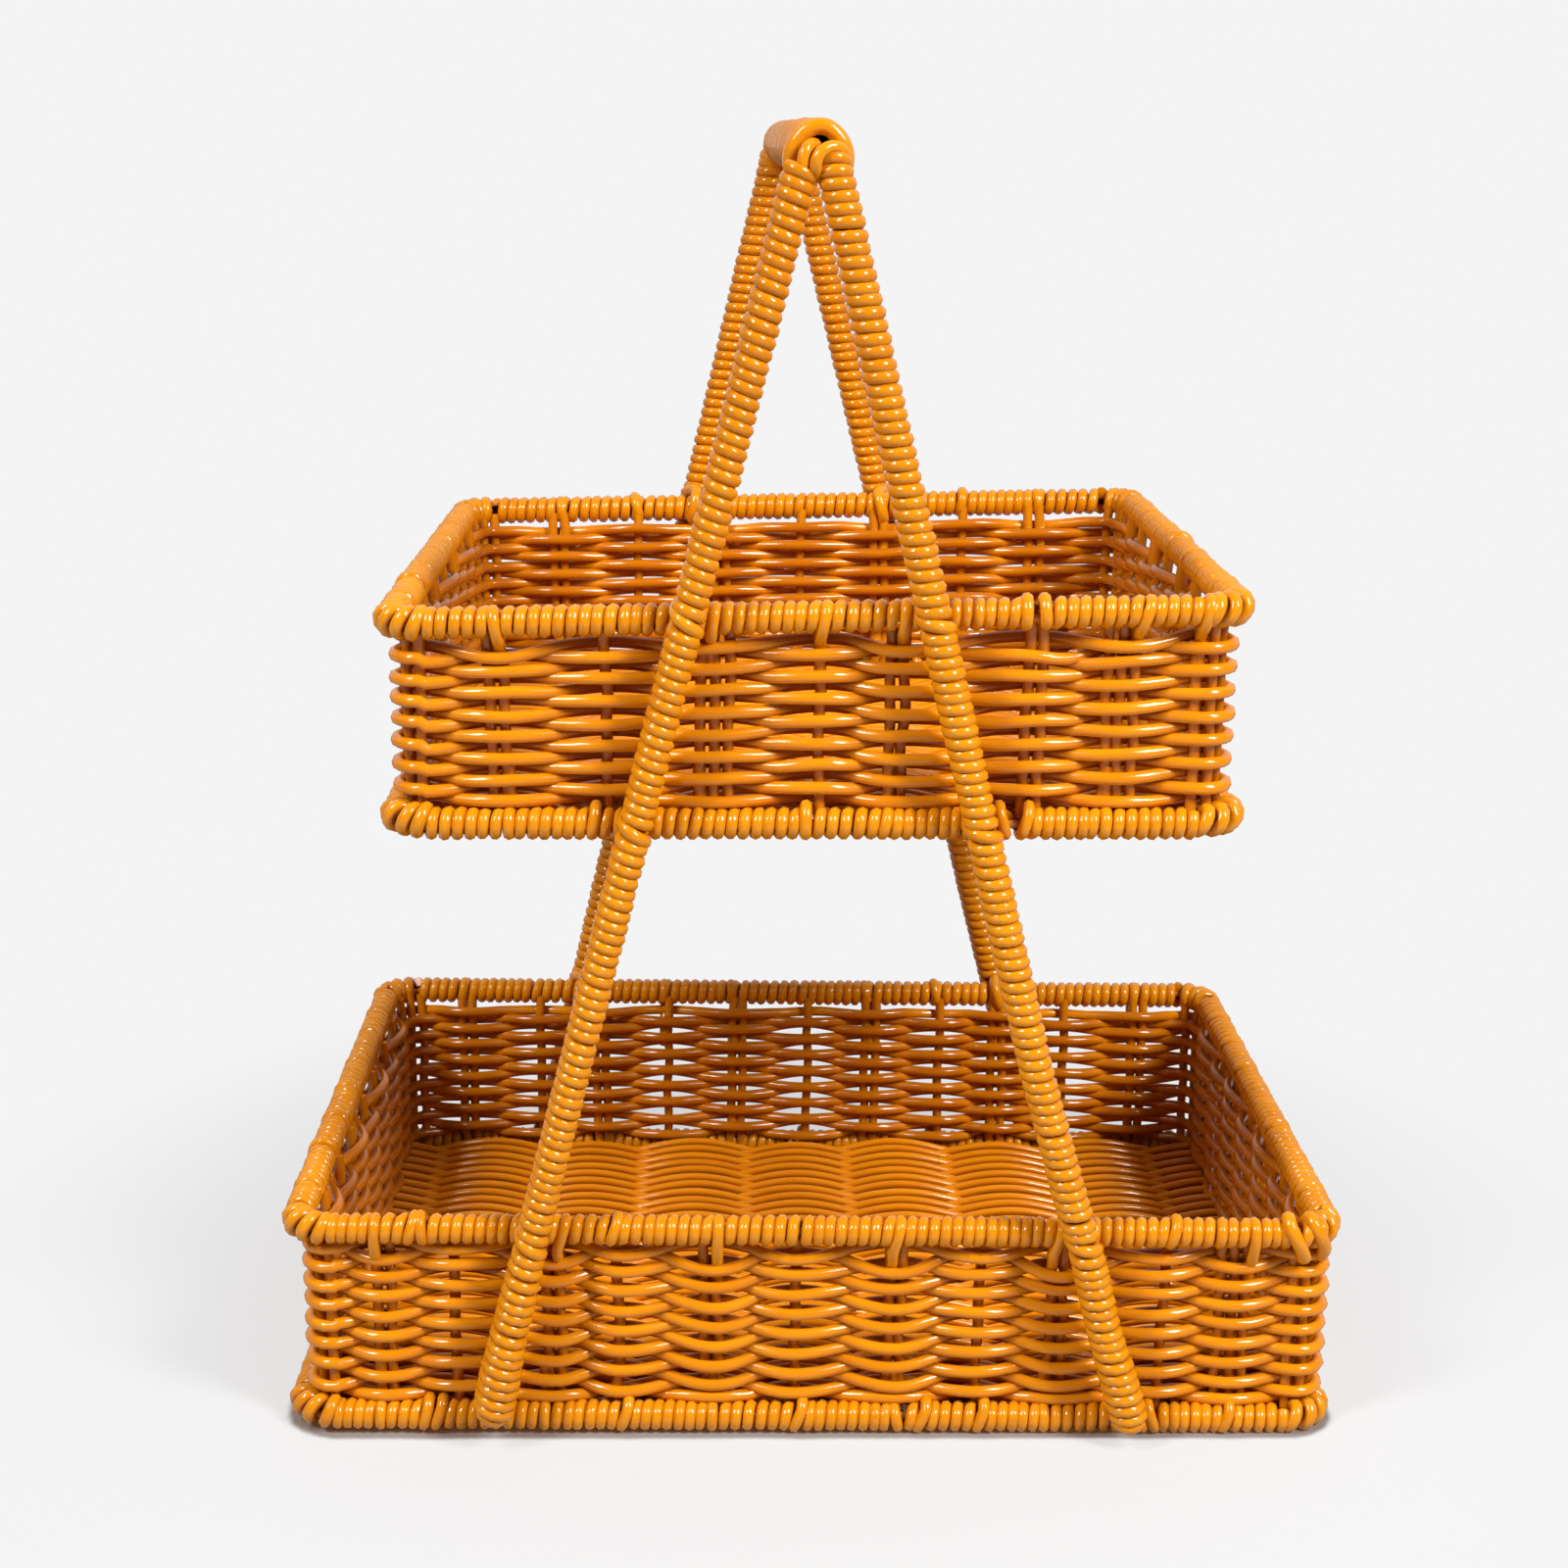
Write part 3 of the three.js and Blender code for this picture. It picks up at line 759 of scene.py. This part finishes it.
def lay_mat(tray, stake_places):
    """The rows of a mat, then the stakes under and over which they pass."""
    low, high = tray["mat"]
    middle_level = (low[2] + high[2]) / 2
    rise = (high[2] - low[2] - mat_cane_thickness) / 2
    reach_x, reach_y = tray["bottom_rim"]["halves"][:2] + wire_corner - mat_margin
    middle_x = tray["bottom_rim"]["middle_x"]
    x = np.arange(middle_x - reach_x, middle_x + reach_x, mat_step)
    upward = np.tile([0.0, 0.0, 1.0], (len(x), 1))
    places = np.array(stake_places, float)
    gap = np.diff(places).mean()
    order = np.interp(x, [places[0] - gap, *places, places[-1] + gap], np.arange(-1, len(places) + 1))
    strands = []
    rows = int(2 * reach_y / mat_row_pitch)
    for j in range(rows - mat_rows_short_at_rear):
        y = (j - (rows - 1) / 2) * mat_row_pitch
        sign = 1 if j % 2 == 0 else -1
        swing = sign * np.cos(math.pi * order)
        waver = chance.normal(0, mat_waver_size, mat_waver_points)
        waver = np.interp(x, np.linspace(x[0], x[-1], mat_waver_points), waver)
        z = middle_level + swing * rise * mat_rise_share
        strands.append(strand(np.column_stack([x, y + waver, z]), mat_cane_thickness, facing=upward))
    for place in places:
        for shift in mat_stake_shifts:
            y = np.linspace(-reach_y, reach_y, mat_stake_points)
            bend = chance.normal(0, mat_stake_waver, mat_stake_points)
            points = np.column_stack([place + shift + bend, y, np.full(mat_stake_points, middle_level)])
            strands.append(strand(points, mat_stake_thickness))
    name = tray["name"]
    lay(f"{name}_mat_weave", strands, mat_cane, [f"{name}_mat"])


lay_mat(lower, lower_mat_stakes)
lay_mat(upper, upper_mat_stakes)

# %% [markdown]
# # Rims
# Each rim is a loop of coated wire with cane wound tightly round it, about ninety turns along the front.
# The winding makes room wherever a stake comes up from the wall, goes over the rim and is tucked in
# behind. Small slips are part of the look: a turn that leans, a taller one, a gap that shows the wire.

# %% One winding round a straight or bent line
winding_tail = 0.3


def wind(places, line_at, radius, thickness, rise, lean=0.0, hand=1, flatness=0.5, steps=10, oval=1.0):
    """A strand that crosses the outer side of a line at each of the places. line_at gives centre, outward
    and up for distances along the line. Rise is each turn's extra radius, and lean moves its top along.
    Flatness 0 leaves each crossing square to the line, 1 makes an even helix, and above that the crossings
    on the inner side grow square. Oval scales the height of the turns."""
    count = len(places)
    order = np.arange(count)
    turns = np.arange(-winding_tail, count - 1 + winding_tail, 1 / steps)
    index = np.clip(np.floor(turns).astype(int), 0, count - 2)
    share = turns - index
    pitch = places[index + 1] - places[index]
    spare = np.minimum(flatness, flatness * np.median(pitch) / pitch)
    reach = places[index] + pitch * (share - (1 - spare) * np.sin(2 * math.pi * share) / (2 * math.pi))
    angle = 2 * math.pi * turns * hand
    reach = reach + np.interp(turns, order, np.broadcast_to(lean, count)) / 2 * np.sin(angle)
    centre, outward, up = line_at(reach)
    out = radius * 2 / (1 + math.cos(math.pi / steps)) + np.interp(turns, order, rise)
    spokes = outward * np.cos(angle)[:, None] + up * (oval * np.sin(angle))[:, None]
    facing = spokes / np.linalg.norm(spokes, axis=1)[:, None]
    return strand(centre + spokes * out[:, None], thickness, facing=facing)


# %% Places of the turns between the gaps
least_room = 0.6


def turn_places(start, end, pitch, gaps, unevenness=0.035):
    """Evenly spread turns from start to end that leave each gap, given as (middle, width), free."""
    gaps = sorted(g for g in gaps if start < g[0] < end)
    edges = [start]
    for middle, width in gaps:
        edges += [middle - width / 2, middle + width / 2]
    edges.append(end)
    places = []
    for low, high in zip(edges[::2], edges[1::2]):
        turns = max(int(round((high - low) / pitch)), 1 if high - low > least_room * pitch else 0)
        if turns:
            spaced = low + (np.arange(turns) + 0.5) * (high - low) / turns
            places += list(spaced + chance.normal(0, unevenness * pitch, turns))
    return np.sort(np.array(places))


# %% Slips and stakes along the four front rims, where the photograph shows them
# Each is (place along the side, kind, lean). A positive lean puts the top of the strand further right. For
# a gap the last number is its width.
front_marks = {
    "lower_top_rim": [(-192.0, "gap", 1.4), (-162.5, "stake", 0.4), (-149.3, "tall", 3.2),
        (-145.2, "tall", -1.2), (-93.1, "stake", 3.0), (-74.4, "tall", 3.5), (-35.7, "stake", 0.4),
        (-5.7, "gap", 1.0), (31.1, "stake", 2.6), (91.2, "stake", 2.8), (133.2, "tall", 3.0),
        (163.8, "stake", 0.2), (178.6, "loop", -5.0)],
    "lower_bottom_rim": [(-162.5, "stake", 0.3), (-145.6, "tall", 2.6), (-140.9, "tall", 3.5),
        (-101.0, "stake", 0.2), (-71.0, "tall", 3.5), (-37.8, "stake", 0.2), (-5.7, "tall", 4.2),
        (31.8, "stake", -2.0), (36.0, "gap", 0.6), (41.0, "tall", 4.5), (63.3, "tall", 3.6),
        (87.6, "stake", 0.2), (124.3, "tall", -4.2), (128.8, "tall", -3.2), (151.5, "gap", 0.7),
        (156.5, "tall", 3.6)],
    "upper_top_rim": [(-148.5, "gap", 1.4), (-113.6, "stake", -1.6), (-38.0, "stake", 1.5),
        (0.7, "stake", 2.0), (28.5, "stake", 0.8), (70.4, "tall", 0.3), (73.7, "gap", 0.7),
        (77.0, "tall", -0.8), (112.5, "stake", 3.4), (133.6, "stake", 2.0), (140.4, "gap", 0.9)],
    "upper_bottom_rim": [(-109.9, "stake", 0.3), (-80.1, "tall", 1.8), (-44.3, "stake", 2.6),
        (-5.2, "tall", 0.2), (22.9, "stake", 2.6), (64.6, "tall", -2.6), (68.4, "gap", 0.5),
        (72.2, "tall", 3.0), (100.9, "stake", 1.0), (135.0, "gap", 0.8)],
}
rim_thickness = 4.45
rim_pitch = 4.38
corner_pitch = 4.7
corner_thickness = 5.0
corner_lift = 1.1
corner_overlap = 1.0
corner_lean = 2.0
clear_of_corner = 6.0
rear_side = 2
closed_at_rear = 0.3
even_flatness = 0.45
rear_flatness = 1.4


def rim_marks(tray, rim):
    """All marks of a rim as (distance along its ring, kind, lean). The photograph shows those of the front,
    and the other sides have one for each group of stakes, clear of the corners."""
    ring = tray[rim]
    marks = []
    for along, kind, lean in front_marks[f"{tray['name']}_{rim}"]:
        marks.append((ring["middles"][0] + along - ring["middle_x"], kind, lean))
    for number, group in enumerate(tray["groups"]):
        if group["side"] in (1, 2, 3):
            kind = "stake" if number % 2 == 0 else chance.choice(["tall", "gap", "stake"])
            lean = chance.uniform(-1, 3)
            if abs(group["along"]) < ring["halves"][group["side"]] - clear_of_corner:
                marks.append((ring["middles"][group["side"]] + group["along"], kind, lean))
    return marks


# %% Shapes of the strands that belong to a mark
mark_slimness = 0.96
loop_stoutness = 1.2
loop_distance = 7.4
# Profiles are (outward, up) from the wire, in millimetres, from the wall to the tucked end.
long_over_top = [(-4.5, -25), (-4.4, -20), (-3.5, -16), (-1.1, -12.6), (2.2, -7.4), (3.9, -0.8),
                 (2.9, 2.7), (0.2, 3.9), (-2.7, 2.9), (-3.8, 0.2), (-3.2, -2.6)]
short_over_top = [(-4.5, -20), (-4.5, -14.5), (-4.0, -11.0), (-1.8, -8.4), (2.3, -5.2), (3.9, -0.6),
                  (2.9, 2.7), (0.2, 3.9), (-2.7, 2.9), (-3.8, 0.2), (-3.2, -2.6)]
stake_under_bottom = [(-4.5, 20), (-4.5, 13.0), (-4.4, 8.4), (-3.0, 5.6), (-0.2, 4.3), (2.8, 2.8),
                      (3.9, 0.0), (2.8, -2.8), (0.0, -3.8), (-2.8, -2.8), (-3.8, 0.0)]
tall_over_top = [(-3.6, -1.6), (-3.9, 1.2), (-2.6, 3.9), (0.4, 5.2), (3.1, 3.4), (4.2, 0.2),
                 (3.2, -2.8), (0.2, -4.1), (-2.6, -3.2), (-3.8, -1.0)]
loop_over_top = [(-3.4, 1.0), (-2.0, 4.4), (0.9, 6.4), (3.8, 4.6), (5.4, 0.6), (5.0, -4.0), (3.0, -8.2),
                 (-0.4, -9.2), (-3.4, -6.6), (-4.2, -3.0)]
tall_over_bottom = [(-3.8, -1.0), (-4.0, 2.4), (-2.4, 5.4), (0.6, 6.4), (3.4, 4.2), (4.3, 0.4),
                    (3.3, -2.7), (0.2, -3.9), (-2.6, -3.2), (-3.8, -1.0)]


def marked_strand(tray, rim, reach, profile, lean, stoutness=1.0):
    """A strand that follows a profile across a rim and leans along it by the given amount."""
    ring = tray[rim]
    profile = np.array(profile, float)
    height = profile[:, 1]
    along = reach + lean / 2 * np.clip(height, -7, 5) / 5
    plan, outward = ring_at(ring, along)
    level = tray[f"{rim}_level"]
    points = np.column_stack([plan + outward * profile[:, :1], level + height])
    points[:, 2] += lift(tray, points[:, 0], level)
    return strand(smooth_line(points, 3), rim_thickness * mark_slimness * stoutness)


# %% Lay a rim
corner_names = ("front_right", "right_rear", "rear_left", "left_front")
# A loop needs this share of a turn's room, and neighbours take this share of a strand's lean.
loop_room = 0.6
shared_lean = 0.4
lean_fade = 5
rim_unevenness = 0.10
corner_unevenness = 0.08


def lay_rim(tray, rim):
    """Turns along the four sides and round the four corners of a rim, and the strands of its marks."""
    ring = tray[rim]
    level = tray[f"{rim}_level"]
    bundle = box_mm(f"{tray['name']}_{rim}_front_wrap")
    radius = (bundle[1][1] - bundle[0][1]) / 2 - rim_thickness / 2
    is_bottom = rim == "bottom_rim"
    marks = rim_marks(tray, rim)
    widths = {"stake": rim_pitch, "tall": rim_pitch, "loop": loop_room * rim_pitch, "gap": None}
    gaps = []
    for reach, kind, lean in marks:
        at_rear = abs(reach - ring["middles"][rear_side]) < ring["halves"][rear_side]
        gaps.append((reach, abs(widths[kind] or lean) * (closed_at_rear if at_rear else 1.0)))
    leaning = [(reach, lean) for reach, kind, lean in marks if kind != "gap"]

    def lean_at(places):
        """Neighbours of a leaning strand lean with it a little."""
        shared = np.zeros(len(places))
        for reach, lean in leaning:
            shared += shared_lean * lean * np.exp(-np.abs(places - reach) / lean_fade)
        return shared

    def line_at(reach, raised=0.0):
        plan, outward = ring_at(ring, reach)
        centre = np.column_stack([plan, np.full(len(plan), level)])
        centre[:, 2] += lift(tray, centre[:, 0], level)
        centre[:, 2] += raised
        up = np.tile([0.0, 0.0, 1.0], (len(plan), 1))
        return centre, np.column_stack([outward, np.zeros(len(plan))]), up

    def corner_line(reach):
        """At the corners the turns of a bottom rim also take in the lowest row of the wall."""
        return line_at(reach, corner_lift if is_bottom else 0.0)

    strands = []
    for side in range(4):
        start = ring["middles"][side] - ring["halves"][side]
        end = ring["middles"][side] + ring["halves"][side]
        places = turn_places(start, end, rim_pitch, gaps)
        rise = chance.normal(0, rim_unevenness, len(places))
        flatness = rear_flatness if side == rear_side else even_flatness
        strands.append(wind(places, line_at, radius, rim_thickness, rise, lean_at(places),
                            flatness=flatness))
        corner_end = end + ring["bend"] + corner_overlap
        places = turn_places(end - corner_overlap, corner_end, corner_pitch, [], corner_unevenness)
        rise = np.abs(chance.normal(0.1, 0.3, len(places)))
        strands.append(wind(places, corner_line, radius, corner_thickness, rise, corner_lean, steps=12))
    over_top = long_over_top if tray is lower else short_over_top
    stake_profile = stake_under_bottom if is_bottom else over_top
    tall_profile = tall_over_bottom if is_bottom else tall_over_top
    profiles = {"stake": stake_profile, "tall": tall_profile}
    for reach, kind, lean in marks:
        if kind == "loop":
            for place, slant in ((reach, lean), (reach + loop_distance, 0.7 * lean)):
                strands.append(marked_strand(tray, rim, place, loop_over_top, slant, loop_stoutness))
        elif kind in profiles:
            strands.append(marked_strand(tray, rim, reach, profiles[kind], lean))
    name = f"{tray['name']}_{rim}"
    nodes_replaced = [f"{name}_{side}_wrap" for side in wall_names]
    nodes_replaced += [f"{name}_{pair}_corner_turns" for pair in corner_names]
    lay(f"{name}_turns", strands, honey_cane, nodes_replaced)


for tray, rim in all_rims:
    lay_rim(tray, rim)

# %% [markdown]
# # Legs
# Each leg is a rod wound with slightly thicker cane, in an even helix from foot to head. Where it
# crosses a rim, one turn leaves the row, goes round the rim and comes back: that tie is all that holds
# the trays.

# %% Turns of a leg
leg_thickness = 4.7
leg_swell = 0.35
leg_pitch = 4.29
leg_unevenness = 0.12
bend_radius = 9.0
# The turns round the bend crowd together, and a tie needs a little more room than a turn. A rim that
# crosses right at the foot has no tie.
bend_crowding = 0.75
tie_room = 1.25
lowest_tie = 10
# The heads are painted darker as shade, and these levels are where that begins and is complete.
heads_painted_shade = 0.34
head_shade_levels = [240, 420]


def leg_axis(name, head):
    """Foot, direction and length of the straight stretch of a leg."""
    foot, waist = sleeve_ends(f"{name}_wrap")
    top = box_mm(f"{name}_{head}")[1][2]
    direction = unit(waist - foot)
    length = (top - foot[2]) / direction[2]
    return foot, direction, length


# How the lowest stretch of a front leg strays from its rod: (level, shift to the right, extra radius).
# The cane is wound over its own ends there, so both legs swell above the foot, and the right one also
# leans out.
straight_stray = [(0, 0, 0), (500, 0, 0)]
left_stray = [(0, 1.6, 0.5), (8, 1.6, 1.1), (18, 1.4, 1.8), (33, 0.8, 1.6), (48, 0.3, 0.9),
              (63, 0.4, 0.7), (90, 0, 0)]
right_stray = [(0, 5.2, 0.2), (8, 5.3, 0.6), (18, 5.3, 1.2), (33, 4.5, 0.9), (48, 3.4, 0.3),
               (77, 3.4, 0.4), (105, 1.8, 0.3), (150, 0, 0)]


def lay_leg(name, head, outer, hand, bent_turns, slips, stray=straight_stray, foot_lift=0.0):
    """Winds a leg from its foot to its head, and a few turns more round the bend towards the handle. Slips
    are (level, gap width): places where the turns stand apart. Foot lift is how far up the lowest turn
    starts."""
    foot, direction, length = leg_axis(name, head)
    out = np.array([0.0, outer, 0.0])
    across = unit(np.cross(direction, out))
    axes = (across * -hand, direction, out)
    stray_levels, stray_shifts, stray_swells = np.array(stray, float).T

    def swell_at(level):
        return np.interp(level, stray_levels, stray_swells)

    def strayed(points):
        """Moves points of the straight rod to where the winding lies, its back still against the rims."""
        points = np.array(points, float)
        level = points[..., 2]
        points[..., 0] += np.interp(level, stray_levels, stray_shifts)
        points[..., 1] += outer * swell_at(level)
        return points

    def line_at(reach):
        reach = np.asarray(reach)[:, None]
        straight = np.minimum(reach, length)
        angle = np.maximum(reach - length, 0) / bend_radius
        outward = out * np.cos(angle) + direction * np.sin(angle)
        centre = strayed(foot + direction * straight) + bend_radius * (outward - out)
        return centre, outward, np.tile(across, (len(reach), 1))

    bundle = box_mm(f"{name}_wrap")
    radius = (bundle[1][1] - bundle[0][1]) / 2 + leg_swell - leg_thickness / 2
    crossings = [(tray[f"{rim}_level"] - foot[2]) / direction[2] for tray, rim in all_rims]
    ties = [crossing for crossing in crossings if crossing > lowest_tie]
    gaps = [(tie, leg_pitch * tie_room) for tie in ties]
    gaps += [((level - foot[2]) / direction[2], width) for level, width in slips]
    places = turn_places(leg_thickness / 2 + foot_lift, length, leg_pitch, gaps, 0.05)
    round_bend = length + (np.arange(bent_turns) + 0.4) * leg_pitch * bend_crowding
    places = np.concatenate([places, round_bend])
    rise = chance.normal(0, leg_unevenness, len(places)) + swell_at(foot[2] + places * direction[2])
    strands = [wind(places, line_at, radius, leg_thickness, rise, hand=hand, flatness=1.0)]
    levels = strands[0]["points"][:, 2]
    strands[0]["painted_shade_amount"] = np.interp(levels, head_shade_levels, [0, heads_painted_shade])
    for tie in ties:
        strands.append(tie_strand(strayed(foot + direction * tie), axes, radius))
    for path, thickness in foot_ends:
        lifted = np.array(path) + [0, foot_lift, 0]
        strands.append(strand(smooth_line(on_leg(strayed(foot), lifted, axes), 4), thickness))
    lay(f"{name}_turns", strands, honey_cane, [f"{name}_wrap", f"{name}_{head}"])


# %% Cut ends at a foot, and ties
# Points are (across, along the leg, outward), in millimetres, each path with its thickness.
foot_ends = [([(-4.6, 3.6, 1.4), (-3.9, 2.4, 3.6), (-1.2, 1.2, 4.7), (1.8, 0.8, 4.4),
               (3.9, 1.0, 2.4)], 3.9),
             ([(3.6, 1.8, 3.0), (1.6, 0.2, 4.3), (-0.6, -0.4, 4.2), (-2.2, 0.2, 3.3)], 2.9),
             ([(-3.9, 2.6, 2.6), (-3.2, 0.8, 3.8), (-1.6, -0.2, 3.7)], 2.5)]


def on_leg(start, path, axes):
    """Points from distances across, along and outward from a place on the leg."""
    across, along, out = axes
    path = np.array(path, float)
    return start + path[:, :1] * across + path[:, 1:2] * along + path[:, 2:] * out


def tie_strand(crossing, axes, radius):
    """A loop that slants across the front of the leg, then goes back over and under the rim."""
    wide = radius + 0.5
    loop = [(0, 0, radius + 0.4), (-0.7 * wide, 1.5, 0.72 * radius), (-wide, 2.7, -0.6),
            (-0.9 * wide, 4.6, -5), (-0.5 * wide, 6.4, -9.5), (-0.1 * wide, 6.8, -13), (0.1, 4.6, -17),
            (0.2, 0, -18.4), (0.3, -4.6, -17), (0.4 * wide, -6.8, -13), (0.7 * wide, -6.2, -9),
            (0.95 * wide, -4.4, -5), (wide, -2.7, -0.6), (0.7 * wide, -1.5, 0.72 * radius)]
    points = smooth_line(on_leg(crossing, loop, axes), 4, closed=True)
    return strand(points, leg_thickness, closed=True)


lay_leg("front_left_leg", "head_winding", -1, -1, 1, [(48, 1.0), (65, 0.8), (162, 0.8)], left_stray, 3.6)
lay_leg("front_right_leg", "head_winding", -1, -1, 2, [], right_stray)
lay_leg("rear_left_leg", "head_wrap", 1, 1, 2, [])
lay_leg("rear_right_leg", "head_wrap", 1, -1, 2, [])

# %% [markdown]
# # Handle
# Both rods run side by side along the handle under one oval wrap. At each end a thick strand arches over
# it, and the ends of the leg windings loop up into the bend of the rods.

# %% Handle wrap and bands
handle_thickness = 4.2
handle_pitch = 4.2
handle_half_width = 10.1
handle_flatness = 0.8
handle_unevenness = 0.22
# The handle wrap carries this share of the heads' painted shade.
handle_painted_shade = 0.6
handle_ends = sleeve_ends("handle_wrap", axis=1)
handle_low, handle_high = box_mm("handle_wrap")
# Points are (x, y, z) in millimetres, at the front end of the handle: the arching strand, the head of the
# left leg's winding and that of the right leg's, each with its thickness.
front_strands = [([(-13.0, -136.5, 464.5), (-12.9, -137.6, 468.7), (-11.1, -138.0, 472.6),
                   (-8.0, -138.2, 475.7), (-4.3, -138.2, 477.1), (-0.7, -138.2, 476.5),
                   (2.3, -138.0, 474.0), (4.1, -137.8, 471.2), (5.0, -137.4, 468.0),
                   (4.9, -136.4, 464.5)], 5.5),
                 ([(-9.6, -143.0, 459.5), (-9.3, -145.4, 464.4), (-9.0, -145.4, 467.8),
                   (-8.0, -144.4, 470.2), (-6.6, -142.0, 471.4), (-5.2, -138.0, 471.4),
                   (-4.4, -134.0, 470.5)], 4.0),
                 ([(-4.2, -141.0, 461.0), (-5.0, -145.2, 463.6), (-4.9, -146.8, 466.4),
                   (-3.5, -146.6, 469.0), (-0.9, -145.4, 470.6), (1.9, -144.0, 470.6),
                   (4.3, -141.4, 469.0), (5.2, -137.5, 466.5)], 4.0)]
# The rear strand arches over in an even sweep and then runs down beside the left leg.
rear_tail = [(-17.0, 135.4, 466.0), (-15.2, 138.0, 461.5), (-11.5, 142.5, 457.5), (-7.0, 146.5, 455.0)]
rear_thickness = 5.0
rear_inset = 2.4
arch_height = 7.1
arch_points = 20


def lay_handle():
    """The oval wrap of the handle and the strands at its two ends."""
    start, end = handle_ends
    direction = unit(end - start)
    length = np.linalg.norm(end - start)
    side = unit(np.cross(direction, [0, 0, 1.0]))
    height = (handle_high[2] - handle_low[2]) / 2 - handle_thickness / 2
    width = handle_half_width - handle_thickness / 2

    def line_at(reach):
        along = direction * np.asarray(reach)[:, None]
        return start + along, np.tile(side, (len(along), 1)), np.tile([0, 0, 1.0], (len(along), 1))

    places = turn_places(handle_thickness / 2, length - 2, handle_pitch, [], 0.05)
    rise = chance.normal(0, handle_unevenness, len(places))
    turns = wind(places, line_at, width, handle_thickness, rise, flatness=handle_flatness, steps=16,
                 oval=height / width)
    turns["painted_shade_amount"] = np.full(len(turns["points"]), handle_painted_shade * heads_painted_shade)
    lay("handle_turns", [turns], honey_cane, ["handle_wrap"])
    front = [strand(smooth_line(path, 4), thickness) for path, thickness in front_strands]
    lay("handle_front_band_strands", front, honey_cane, ["handle_front_band"], sides=12)
    low, high = box_mm("handle_rear_band")
    middle = (low + high) / 2
    sweep = np.linspace(math.radians(-35), math.radians(180), arch_points)
    half = (high[0] - low[0]) / 2 - rear_inset
    arch = np.column_stack([middle[0] + half * np.cos(sweep), np.full(arch_points, middle[1]),
                            end[2] + arch_height * np.sin(sweep)])
    rear = [strand(np.vstack([arch, smooth_line(rear_tail, 4)]), rear_thickness)]
    lay("handle_rear_band_strand", rear, honey_cane, ["handle_rear_band"], sides=12)


lay_handle()

# %% [markdown]
# # Coated wires
# The rods and rim wires stay as the frame has them. They show only in the small gaps, as a
# honey-coloured skin.

# %% Finish of the wires
wire_material = cane_material("coated_wire", (0.62, 0.24, 0.045), (0.50, 0.17, 0.02))
for name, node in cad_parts.items():
    if name.endswith("_wire") or name.endswith("_rod"):
        node.data.materials.clear()
        node.data.materials.append(wire_material)
